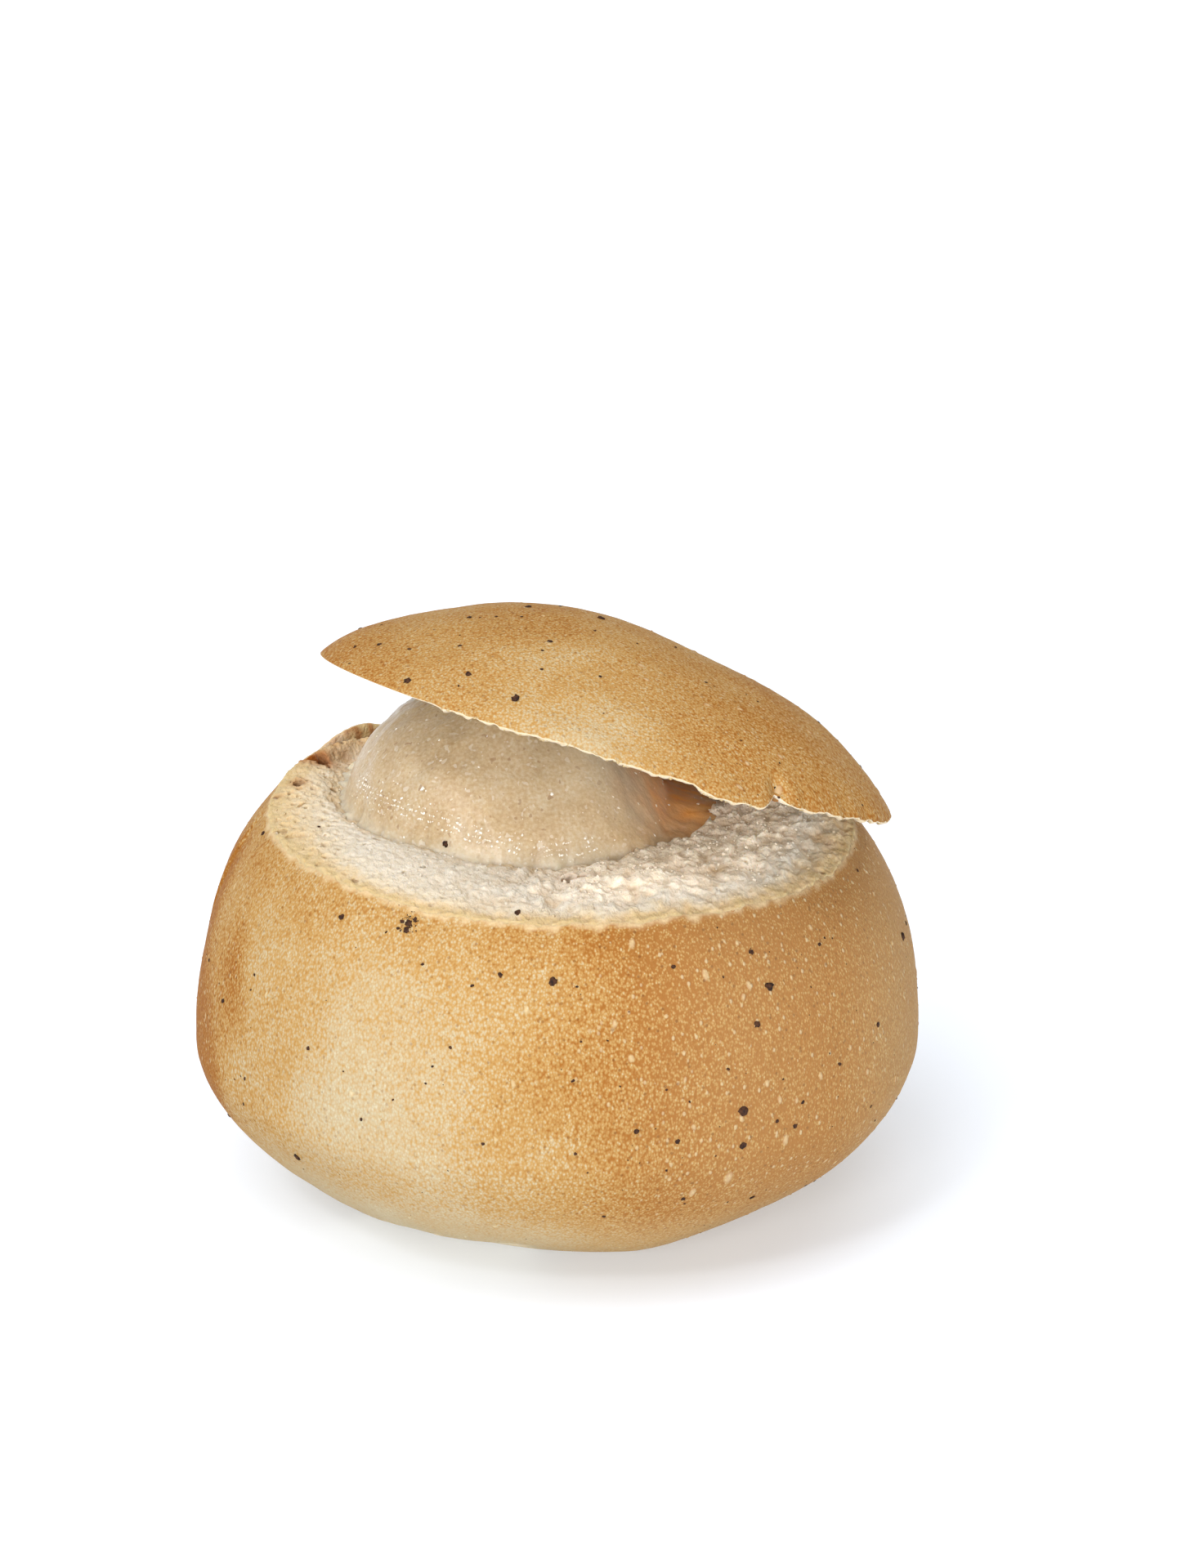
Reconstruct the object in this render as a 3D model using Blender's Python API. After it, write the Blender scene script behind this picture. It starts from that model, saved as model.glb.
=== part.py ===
"""A semla without cream: a cardamom bun whose top was cut off, hollowed, filled with
almond paste, with the cut-off top leaning on the paste as a lid.

Metres, +Z up. The origin is the middle of the bun's flat base, on the table.
-Y is the front, where the lid is raised and the filling shows.
"""

import math

import bmesh
import bpy
from mathutils import Matrix, Vector

# Bun, outside
BASE_RADIUS = 0.022  # flat spot that it was baked on
BELLY_RADIUS = 0.045
BELLY_HEIGHT = 0.020
RIM_RADIUS = 0.0361  # where the top was cut off
RIM_HEIGHT = 0.0481
LOWER_CURVE = 1.56  # under 2 the side below the belly runs in more straight
UPPER_CURVE = 2.26  # over 2 the side above the belly stays upright longer
OVAL = 0.016  # share by which the bun is deeper than wide
THREE_SIDED = 0.016  # share by which it bulges to three sides
LEAN = Vector((0.0005, -0.0004))  # of the rim against the base
RIM_SLOPE = 0.030  # the cut drops towards +X
RIM_WAVE = 0.0003  # the knife's unevenness, in this many waves round the rim
RIM_WAVES = 5
PRESSED_PLACE = Vector((0.027, 0.019))  # the lid's low edge presses the cut down here
PRESSED_DEPTH = 0.0028
PRESSED_RADIUS = 0.014
TORN_PLACE = Vector((-0.022, 0.030))  # a strip of crust is torn off the rim here
TORN_DEPTH = 0.0012
TORN_RADIUS = 0.012

# Bun, cut face and hollow
CRUMB_RISE = 0.0007  # the torn crumb stands up between rim and hollow
HOLLOW_PLACE = Vector((-0.0032, 0.0056))
HOLLOW_RADIUS = 0.0233
HOLLOW_DEPTH = 0.018
HOLLOW_FLOOR_RADIUS = 0.013
HOLLOW_CURVE = 2.4

# Almond paste
GAP = 0.0004  # between neighbouring pieces
MOUND_PLACE = Vector((-0.0045, 0.0035))
MOUND_RADIUS = 0.0215
MOUND_HEIGHT = 0.015
MOUND_CURVE = (2.2, 0.8)
PASTE_DIP = 0.0085  # a hollow at the mound's right, smeared up to the crumb
DIP_PLACE = Vector((0.0125, 0.0085))
DIP_RADIUS = 0.0072

# Lid, in its own frame with +Z out of its crust
LID_PLACE = Vector((0.0058, -0.0060, 0.0603))  # middle of its cut face
LID_TILT = math.radians(22.4)
LID_TOWARDS = math.radians(43.6)  # it slopes down towards the back right
LID_RADIUS = 0.0362
LID_HEIGHT = 0.0142
LID_DISH = 0.0010  # the cut face is a little hollow
LID_SADDLE = 0.0015  # shallow trough where the lid bends over the paste
SADDLE_PLACE = 0.0102
SADDLE_WIDTH = 0.0117
DOME_CURVE = (2.06, 0.835)

SHARP_ANGLE = math.radians(40)  # edges sharper than this are shaded as edges
SEGMENTS = 72  # round each ring
LOWER_RINGS = 7
UPPER_RINGS = 8
HOLLOW_RINGS = 6
MOUND_RINGS = 8
DOME_RINGS = 11
CRUMB_STEPS = (0.10, 0.30, 0.55, 0.80, 1.0)  # from the rim, 0, to the hollow, 1

CRUST = ("bun crust", (0.60, 0.35, 0.12), 0.55)
PASTE = ("almond paste", (0.66, 0.50, 0.32), 0.35)
LID_CRUST = ("lid crust", (0.63, 0.37, 0.13), 0.55)


def angles():
    return [2 * math.pi * i / SEGMENTS for i in range(SEGMENTS)]


def outline(angle):
    """How far the bun's outline stands from a circle at this angle, as a factor."""
    return 1 - OVAL * math.cos(2 * angle) - THREE_SIDED * math.sin(3 * angle)


def bump(place, middle, radius):
    """1 at the middle, falling smoothly to 0 away from it."""
    return math.exp(-(((place - middle).length / radius) ** 2))


def cut_height(x, y):
    """The height of the knife's cut through the bun."""
    place = Vector((x, y))
    wave = RIM_WAVE * math.sin(RIM_WAVES * math.atan2(y, x) + 1)
    pressed = PRESSED_DEPTH * bump(place, PRESSED_PLACE, PRESSED_RADIUS)
    torn = TORN_DEPTH * bump(place, TORN_PLACE, TORN_RADIUS)
    return RIM_HEIGHT - RIM_SLOPE * x + wave - pressed - torn


def lower_profile():
    """(radius, height) from the flat base out to the belly."""
    for i in range(LOWER_RINGS):
        turn = math.pi / 2 * i / LOWER_RINGS
        radius = BASE_RADIUS + (BELLY_RADIUS - BASE_RADIUS) * math.sin(turn) ** (2 / LOWER_CURVE)
        yield radius, BELLY_HEIGHT * (1 - math.cos(turn) ** (2 / LOWER_CURVE))


def upper_profile():
    """(radius, share of the way up) from the belly to the rim."""
    drawn_in = 1 - (RIM_RADIUS / BELLY_RADIUS) ** 2
    for i in range(UPPER_RINGS + 1):
        share = i / UPPER_RINGS
        yield BELLY_RADIUS * math.sqrt(1 - drawn_in * share**UPPER_CURVE), share


def lower_ring(radius, height):
    return [
        Vector((radius * outline(a) * math.cos(a), radius * outline(a) * math.sin(a), height))
        for a in angles()
    ]


def upper_ring(radius, share):
    """A ring that turns from level at the belly to the cut's slope at the rim."""
    ring = []
    for a in angles():
        x = radius * outline(a) * math.cos(a) + LEAN.x * share
        y = radius * outline(a) * math.sin(a) + LEAN.y * share
        ring.append(Vector((x, y, BELLY_HEIGHT + (cut_height(x, y) - BELLY_HEIGHT) * share)))
    return ring


def hollow_edge(radius):
    """The ring of the hollow with this radius, level with the cut."""
    ring = []
    for a in angles():
        x = HOLLOW_PLACE.x + radius * math.cos(a)
        y = HOLLOW_PLACE.y + radius * math.sin(a)
        ring.append(Vector((x, y, cut_height(x, y))))
    return ring


def crumb_rings():
    """The torn crumb from just inside the rim to the edge of the hollow."""
    rim = upper_ring(RIM_RADIUS, 1.0)
    edge = hollow_edge(HOLLOW_RADIUS)
    for share in CRUMB_STEPS:
        ring = []
        for outer, inner in zip(rim, edge):
            point = outer.lerp(inner, share)
            rise = CRUMB_RISE * 4 * share * (1 - share)
            point.z = cut_height(point.x, point.y) + rise
            ring.append(point)
        yield ring


def hollow_profile():
    """(radius, depth) of the hollow from its edge down to the rim of its floor."""
    for i in range(HOLLOW_RINGS + 1):
        turn = math.pi / 2 * i / HOLLOW_RINGS
        radius = HOLLOW_FLOOR_RADIUS + (HOLLOW_RADIUS - HOLLOW_FLOOR_RADIUS) * math.cos(
            turn
        ) ** (2 / HOLLOW_CURVE)
        yield radius, HOLLOW_DEPTH * math.sin(turn) ** (2 / HOLLOW_CURVE)


def hollow_ring(radius, depth):
    """A ring of the hollow's wall, which levels out towards the floor."""
    share = depth / HOLLOW_DEPTH
    ring = hollow_edge(radius)
    for point in ring:
        point.z += (RIM_HEIGHT - point.z) * share - depth
    return ring


def solid_of_rings(name, rings, start, end, finish):
    """One closed object: a fan from start to the first ring, walls from ring to ring
    and a fan from the last ring to end."""
    shape = bmesh.new()
    loops = [[shape.verts.new(point) for point in ring] for ring in rings]
    first, last = shape.verts.new(start), shape.verts.new(end)
    for i in range(SEGMENTS):
        j = (i + 1) % SEGMENTS
        shape.faces.new((first, loops[0][j], loops[0][i]))
        shape.faces.new((last, loops[-1][i], loops[-1][j]))
        for low, high in zip(loops, loops[1:]):
            shape.faces.new((low[i], low[j], high[j], high[i]))
    bmesh.ops.recalc_face_normals(shape, faces=shape.faces)
    mesh = bpy.data.meshes.new(name)
    shape.to_mesh(mesh)
    shape.free()
    mesh.shade_smooth()
    mesh.set_sharp_from_angle(angle=SHARP_ANGLE)
    mesh.materials.append(material(*finish))
    solid = bpy.data.objects.new(name, mesh)
    bpy.context.scene.collection.objects.link(solid)
    return solid


def material(name, colour, roughness):
    made = bpy.data.materials.new(name)
    made.use_nodes = True
    shader = made.node_tree.nodes["Principled BSDF"]
    shader.inputs["Base Color"].default_value = (*colour, 1)
    shader.inputs["Roughness"].default_value = roughness
    shader.inputs["Metallic"].default_value = 0.0
    return made


def build_bun():
    """Crust and crumb in one piece, with the hollow for the paste in its cut face."""
    rings = [lower_ring(radius, height) for radius, height in lower_profile()]
    rings += [upper_ring(radius, share) for radius, share in upper_profile()]
    rings += list(crumb_rings())
    rings += [hollow_ring(radius, depth) for radius, depth in list(hollow_profile())[1:]]
    floor = Vector((*HOLLOW_PLACE, RIM_HEIGHT - HOLLOW_DEPTH))
    return solid_of_rings("bun", rings, Vector((0, 0, 0)), floor, CRUST)


def lid_turn():
    """The lid's rotation: tilted about a level axis across its slope."""
    axis = Vector((-math.sin(LID_TOWARDS), math.cos(LID_TOWARDS), 0))
    return Matrix.Rotation(LID_TILT, 4, axis)


def lid_plane(x, y):
    """The height of the lid's cut face over this point of the table."""
    normal = lid_turn() @ Vector((0, 0, 1))
    across = normal.x * (x - LID_PLACE.x) + normal.y * (y - LID_PLACE.y)
    return LID_PLACE.z - across / normal.z


def paste_top(x, y):
    """The mound of paste, pressed flat by the lid and low at its right."""
    place = Vector((x, y))
    share = min(1.0, (place - MOUND_PLACE).length / MOUND_RADIUS)
    mound = MOUND_HEIGHT * (1 - share ** MOUND_CURVE[0]) ** MOUND_CURVE[1]
    dip = PASTE_DIP * bump(place, DIP_PLACE, DIP_RADIUS)
    return min(cut_height(x, y) + mound - dip, lid_plane(x, y) - GAP)


def build_filling():
    """The almond paste, seated in the hollow and heaped over it."""
    rings = []
    for radius, depth in reversed(list(hollow_profile())[1:]):
        rings.append(hollow_ring(radius - GAP, depth - GAP))
    for i in range(MOUND_RINGS):
        ring = hollow_edge((HOLLOW_RADIUS - GAP) * (1 - i / MOUND_RINGS))
        for point in ring:
            point.z = paste_top(point.x, point.y)
        rings.append(ring)
    floor = Vector((*HOLLOW_PLACE, RIM_HEIGHT - HOLLOW_DEPTH + GAP))
    crest = Vector((*HOLLOW_PLACE, paste_top(*HOLLOW_PLACE)))
    return solid_of_rings("filling", rings, floor, crest, PASTE)


def lid_ring(share, height):
    """A ring of the lid at this share of its radius; height is a function of x and share."""
    ring = []
    for a in angles():
        radius = LID_RADIUS * share * outline(a)
        x, y = radius * math.cos(a), radius * math.sin(a)
        ring.append(Vector((x, y, height(x, share))))
    return ring


def lid_top(x, share):
    dome = LID_HEIGHT * (1 - share ** DOME_CURVE[0]) ** DOME_CURVE[1]
    saddle = math.exp(-(((x - SADDLE_PLACE) / SADDLE_WIDTH) ** 2)) * (1 - share**2)
    return dome - LID_SADDLE * saddle


def lid_bottom(x, share):
    return LID_DISH * (1 - share**2)


def build_lid():
    """The cut-off top of the bun: a domed crust over a flat crumb face."""
    shares = [math.sin(math.pi / 2 * (i + 1) / DOME_RINGS) for i in range(DOME_RINGS)]
    rings = [lid_ring(share, lid_bottom) for share in shares[::2]]
    rings += [lid_ring(share, lid_top) for share in reversed(shares[:-1])]
    lid = solid_of_rings(
        "lid", rings, Vector((0, 0, lid_bottom(0, 0))), Vector((0, 0, lid_top(0, 0))), LID_CRUST
    )
    lid.matrix_world = Matrix.Translation(LID_PLACE) @ lid_turn()
    return lid


def main():
    for old in list(bpy.data.objects):
        bpy.data.objects.remove(old, do_unlink=True)
    build_bun()
    build_filling()
    build_lid()


main()
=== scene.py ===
"""The looks of a semla without cream: a cardamom bun whose top was cut off, hollowed, filled
with almond paste, with the cut-off top leaning on the paste as a lid.

Metres, +Z up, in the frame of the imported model. -Y is the front, where the filling shows.
"""

import itertools
import math

import bmesh
import bpy
import numpy as np
import openvdb
from bpy.props import FloatProperty, FloatVectorProperty, IntProperty, PointerProperty
from bpy.types import Operator, Panel, PropertyGroup
from mathutils import Matrix, Vector
from mathutils.bvhtree import BVHTree


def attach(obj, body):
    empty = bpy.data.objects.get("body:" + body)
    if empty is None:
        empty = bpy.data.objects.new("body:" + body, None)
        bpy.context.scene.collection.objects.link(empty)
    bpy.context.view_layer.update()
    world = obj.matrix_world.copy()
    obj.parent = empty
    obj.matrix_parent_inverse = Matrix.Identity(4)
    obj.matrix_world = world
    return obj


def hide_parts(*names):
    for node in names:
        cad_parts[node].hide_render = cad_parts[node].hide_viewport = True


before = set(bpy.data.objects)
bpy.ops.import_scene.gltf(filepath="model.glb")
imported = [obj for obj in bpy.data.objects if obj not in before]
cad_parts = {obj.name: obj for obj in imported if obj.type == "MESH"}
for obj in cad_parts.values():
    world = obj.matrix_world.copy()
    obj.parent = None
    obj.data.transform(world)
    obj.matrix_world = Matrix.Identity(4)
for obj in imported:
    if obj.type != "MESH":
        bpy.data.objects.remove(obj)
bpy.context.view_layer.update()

bl_info = {
    "name": "Semla bun",
    "version": (1, 0, 0),
    "blender": (4, 5, 0),
    "location": "3D View > Sidebar > Semla",
    "description": "Builds a cut and filled cardamom bun with its lid, crumbs and spice",
    "category": "Add Mesh",
}

ROOT = "root"
FOOD_PIECES = ("bun_crust", "bun_crumb", "almond_paste", "lid_crust")

# The bun's solid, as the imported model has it
BASE_RADIUS = 0.022
LOWER_CURVE = 1.56
UPPER_CURVE = 2.26
OVAL = 0.016
THREE_SIDED = 0.016
LEAN = (0.0005, -0.0004)
RIM_SLOPE = 0.030
RIM_WAVE = 0.0003
RIM_WAVES = 5
PRESSED_PLACE = (0.027, 0.019)
PRESSED_DEPTH = 0.0028
PRESSED_RADIUS = 0.014
TORN_PLACE = (-0.022, 0.030)
TORN_DEPTH = 0.0012
TORN_RADIUS = 0.012
CRUMB_RISE = 0.0007
HOLLOW_PLACE = (-0.0032, 0.0056)
HOLLOW_RADIUS = 0.0233
HOLLOW_DEPTH = 0.018
HOLLOW_FLOOR_RADIUS = 0.013
HOLLOW_CURVE = 2.4
GAP = 0.0004  # between paste, bun and lid
MOUND_PLACE = (-0.0045, 0.0035)
MOUND_RADIUS = 0.0215
MOUND_CURVE = (2.2, 0.8)
MOUND_CORNER = 3.5  # how square the mound is at its front right, 2 for round
MOUND_CUT_OFF = 1.2  # how much sooner it ends at the right
FOOT_SOFTER = (0.35, 0.15)  # how much more softly it runs out, at the front and at the right
FOOT_FRONT = ((-0.016, 0.006), (0.010, -0.004))  # from where to where in X, and in Y
FOOT_RIGHT = (0.001, 0.012)
FOOT_SMEAR = (1.14, 0.86)  # times the mound's size
PASTE_FOOT = 0.0010  # a thin smear of paste runs out over the crumb
PASTE_OVERLAP = 0.0026
PASTE_SUNK = (0.0016, 0.0004)  # into the crumb, at its edge and all over
PRESSED_SOFT = 0.0006  # how softly the paste gives way under the lid
THIN_HEIGHT = (0.0026, 0.0002)  # over the cut, from thick paste to a thin smear
SYRUP_FILL = 0.0012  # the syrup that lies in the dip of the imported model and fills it
DIP_PLACE = (0.0125, 0.0085)
DIP_SIZE = (0.0068, 0.0100)
LID_PLACE = (0.0058, -0.0060, 0.0603)
LID_DISH = 0.0010
LID_SADDLE = 0.0015
SADDLE_PLACE = 0.0102
SADDLE_WIDTH = 0.0117
LID_FLAT = 0.0010
FLAT_PLACE = -0.0260
FLAT_WIDTH = 0.0065
DOME_CURVE = (2.06, 0.835)

# Syrup that soaked the paste brown in the dip, with painted shade and warm bounce light under the
# lid that deepen towards the back: from where to where, left to right and front to back, and the
# crumb beside it that drank it
SOAK_SHADE_ACROSS = (0.0046, 0.0132)
SOAK_SHADE_BACK = (-0.0140, 0.0060)
SOAK_SHADE_BORDER = ((0.0015, 0.004, 55),)  # how its border wavers
SYRUP_PLACE = (0.0220, 0.0080)
SYRUP_RADIUS = 0.0060
PAINTED_LIGHT_PLACE = (0.009, -0.002)  # a paler patch in front of the syrup: painted light on the paste's shaded flank
PAINTED_LIGHT_RADIUS = 0.009

# The lid's edge and the torn face under it. Degrees are counted round the lid
LID_WHOLE = ((120, 140), (225, 240))  # the back, where the edge is neat: fades in and out
LID_HANGS = ((283, 289), (298, 301))  # a tongue of crust that hangs down: fades in and out
LID_TONGUE = (0.0009, 0.0008)  # how far it stands out and hangs down
LID_NOTCH = (303, 1.6)  # a nick in the edge, and its width
LID_NICK = (0.0016, 0.0008)  # how far it cuts in and up
LID_LIFTED = (259, 7, 0.0004)  # where the edge bends up, over what width and how far
LID_CALM_FROM = 0.93  # shares of the way from the lid's middle to its edge
LID_RAGGED_FROM = 0.90
LID_TEETH_FROM = 0.982
LID_LIP_FRAY = 0.00012
# The lip under the crown's edge: how far out and how far down each ring lies
LID_LIP = ((0.00010, 0.00012), (0.00012, 0.0003), (-0.0003, 0.0005), (-0.0009, 0.0003))
LID_FACE_SUNK = 0.0002
LID_FACE_RINGS = (0.955, 0.02, 40)  # from and to as shares, and how many
LID_FACE_LUMPS = (0.00035, 0.0022, 65)
LID_FACE_FLUFF = (0.00012, 0.0008, 66)
LID_FACE_GOLDEN = (0.36, 0.002)  # more golden at its edge: how much, and over what width
LID_PATTERN_OFFSET = 0.3  # so that its swells are not the bun's
EDGE_WIDTH = 0.0009  # of the lid's underside along its edge, where grains hang
EDGE_ROUND = (232, 130)  # from and to, by way of 360

# What only shows close up on the bun
BASE_RINGS = (0.08, 0.96, 10)  # of the flat base: from and to as shares, and how many
SMOOTH_FOOT = (0, 0.004)  # the skin's relief sets in above the table
NEAR_RIM = (0.90, 1.0)  # as shares of the way from the belly to the rim
CRUST_DROP = 0.00015  # of the crust's edge below the crumb
CRUMB_PROUD = 0.00010  # of the crumb's frayed edge over the crust's
# The crust's lip inside its edge: how far in and how far down each ring lies
LIP_STEPS = ((0.0002, 0.00002), (0.0005, 0.0001), (0.0008, 0.0008), (0.0010, 0.0040))
SHELF_DEPTH = 0.0055  # of the crust's hidden shelf under the crumb
CUT_EDGE = (0.0008, 0.0)  # below the rim, from crust to its dusty cut edge
CUT_BORDER = ((0.0005, 0.0012, 16),)  # how that edge wavers
FLAP_PLACE = (-0.0252, 0.0260)  # crust that stands up where the lid tore off
FLAP_HEIGHT = 0.0022
FLAP_RADIUS = 0.0065
BASE_LIFT = 0.0009  # the bun's front left doesn't touch the table
BASE_LIFTED = (250, 20)  # degrees round, and how wide
BASE_LIFT_ENDS = (0.012, 0.0)  # in Z, from none to all of it
DENT_TALL = 0.007
DENTS = (  # degrees round, width in degrees, height and depth, less than 0 where it bulges
    (-46, 19, 0.007, 0.0004),
    (-72, 14, 0.004, -0.0008),
    (-140, 16, 0.010, 0.0006),
    (165, 22, 0.041, -0.0006),
)
RAW_STRIP_ROUND = ((-152, -143), (-106, -92))  # degrees round: fades in and out
RAW_STRIP_HEIGHT = 0.0052
RAW_BORDER = ((0.0008, 0.008, 15),)  # how its upper edge wavers
RAW_STRIP_SOFT = 0.0003
RAW_STRIP_STEP = 0.0004
PULL = (1.0, 0.6, 1.0)  # the crumb tore from front to back, so its lumps are longer that way
TORN_FROM = (-0.022, -0.002)  # from left to right, where the cut crumb turns into torn lumps
HEAP_HEIGHT = 0.0013  # the crumb is heaped up at the right
HEAP_ACROSS = (-0.004, 0.018)
HEAP_BACK = (0.016, 0.0)
PASTE_STEP_DOWN = 0.0005  # the crumb sinks to meet the paste
PASTE_STEP_WIDTH = (0.0030, 0.0)  # outside the hollow, from none to all of it
PASTE_STEP_ACROSS = (0.012, -0.004)  # and from right to left
TROUGH_DEPTH = 0.0022  # crumb is missing between rim and paste at the back left
TROUGH_PLACE = (-0.0275, 0.0185)
TROUGH_RADIUS = 0.0060
TROUGH_INSIDE = (0.0012, 0.0030)  # inside the rim, from none to all of it
CALM_RIM = (0.0, 0.0035)  # inside the rim, from low lumps to full ones
FRAY_WIDTH = (0.0020, 0.0)  # inside the rim, from none to all of its fray
CRUMB_BEND = (0.0005, 0.0012, (26, 27, 28))  # how far, over what size, and seeds for X, Y, Z
HOLLOW_OVERLAP = 0.0008  # how far the crumb reaches in over the hollow's edge
HOLLOW_BORDER = ((0.0007, 0.003, 31),)  # how that wavers
CRUMB_WALL = ((0.00022, 0.0011, 32),)  # the relief of its outer wall
# Torn holes carved into the crumb; how brown gives the painted shade round each, down in the hole
TORN_HOLES = {  # place, radius and how brown
    "crevice": ((-0.0300, 0.0145), 0.0018, 1.0),
    "crevice end": ((-0.0290, 0.0128), 0.0009, 0.9),
    "brown pit": ((-0.0317, 0.0052), 0.0008, 0.55),
    "left pit": ((-0.0342, 0.0012), 0.0005, 0.4),
    "front pocket": ((0.0015, -0.0245), 0.0011, 0.25),
    "front pocket end": ((0.0030, -0.0240), 0.0008, 0.2),
}
PLAIN_GOLDEN = 0.24  # how golden the plain crumb is, away from the crust
# Painted light: the plain crumb is painted more golden at the left, where the lamp falls, and whiter
# at the right, where the lid shades it
PAINTED_LIGHT_ACROSS = (0.012, -0.012)  # in X, from the white right to the golden left
GOLDEN_WIDTH = (0.0018, 0.0042, 0.0018)  # beside the crust, wider at the left and the right
GOLDEN_LEFT = (-0.022, -0.032)
GOLDEN_RIGHT = (0.022, 0.032)
GOLDEN_EDGE = 0.0003  # beside the crust, as golden as can be
GOLDEN_BORDER = ((0.0009, 0.002, 35),)  # how its border wavers
GOLDEN_FLAP = 0.0075  # radius
# Painted shade: the crumb is painted tan below its smooth level and in the creases between its lumps
SHADE_DEEP_FROM = (-0.0002, 0.0012)  # below the crumb's level, from light to dark
MOIST_WIDTH = (0.0030, 0.0004)  # outside the hollow, from dry to moist
MOIST_BORDER = ((0.0020, 0.0024, 34),)  # how its border wavers
MILKY_SIDE = (0.016, 0.004)  # from right to left, where milk ran out of the paste
STAINED_FLAP = 0.0060  # radius
STAINED_RIGHT = (0.0300, 0.0345)

# Relief in layers of noise: (height, size of its lumps, seed)
SKIN_RELIEF = ((0.00035, 0.026, 1), (0.00013, 0.008, 2), (0.00004, 0.0022, 3))
RIM_FRAY = ((0.00012, 0.0009, 5), (0.00010, 0.0026, 7), (0.00030, 0.005, 6))
TUFTS = ((0.00050, 0.0015, 23), (0.00040, 0.0008, 24))  # lumps of crumb, without noise
FLUFF = ((0.00014, 0.0013, 29), (0.00022, 0.0006, 30))
TORN_WAVES = ((0.6, 0.0060, 21), (0.5, 0.0015, 25))  # as shares of the tear height
TORN_LUMPS = (0.65, 0.0026, 22)
TORN_SUNK = 0.20
PASTE_EDGE = ((0.0016, 0.0026, 56), (0.0008, 0.0011, 57))
PASTE_STIRRED = ((0.00045, 0.007, 51), (0.00022, 0.0028, 52))
PASTE_GRIT = ((0.00009, 0.0013, 53), (0.00004, 0.0007, 54))
LID_OUTLINE = ((0.00040, 0.0045, 61), (0.00018, 0.0013, 62))
LID_TEETH = ((0.00024, 0.0040, 63), (0.00010, 0.0017, 67), (0.00016, 0.0009, 69))

# How brown the crust is, 0 raw to 1 dark: its middle tone, its patches as layers of noise,
# and what each place adds: how much, along which axis (0 for X, 2 for Z), from where to where
BUN_BROWN = (0.54, ((0.06, 0.022, 11), (0.04, 0.010, 12)), {
    "beside the cut": (0.08, 2, 0.038, 0.047),
    "right": (0.31, 0, -0.007, 0.018),
    "far right": (0.05, 0, 0.018, 0.028),
    "low down": (-0.22, 2, 0.016, 0.004),
})
LID_BROWN = (0.65, ((0.09, 0.020, 13), (0.08, 0.009, 14)), {
    "right": (0.05, 0, 0.008, 0.040),
    "left": (0.08, 0, -0.014, -0.034),
})
LEFT_BROWN = 0.60  # of the bun's left side, and from where to where it sets in
LEFT_BROWN_FROM = (-0.0370, -0.0433)
LEFT_BROWN_BACK = (0.024, 0.002, 0.020)  # sooner at the back: how much, from where to where
LOW_RIGHT_PALE = (0.08, (0.022, 0.038), (0.040, 0.031))  # how much, along X and down Z
# Pale patch on the front left: partly paler crust, partly painted light where the lamp falls
# brightest
FRONT_PALE_AND_LIT = (0.18, (-0.022, 0.028), (0.014, 0.020))  # how much, middle and widths in X and Z
# Paler lid near its front edge: partly less baked, partly painted light
LID_PALE_AND_LIT = (0.20, (0.002, -0.036), 0.014)  # how much, middle and radius
RAW_PALE = 0.65
# Painted sheen: the crust is painted greyish at the right and low down, in place of the white room's
# reflection at grazing angles
SHEEN_RIGHT = ((0.0, 0.025), (0.032, 0.042))  # greyish crust, from where to where
SHEEN_LOW = (0.016, 0.006)
SHEEN_LOW_SHARE = 1.6
FRONT_ONLY = (0.0, -0.02)  # from where to where in Y the front's pale patch sets in
BROWN_BORDER = ((0.0030, 0.012, 17),)  # how the left side's browning wavers

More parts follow.
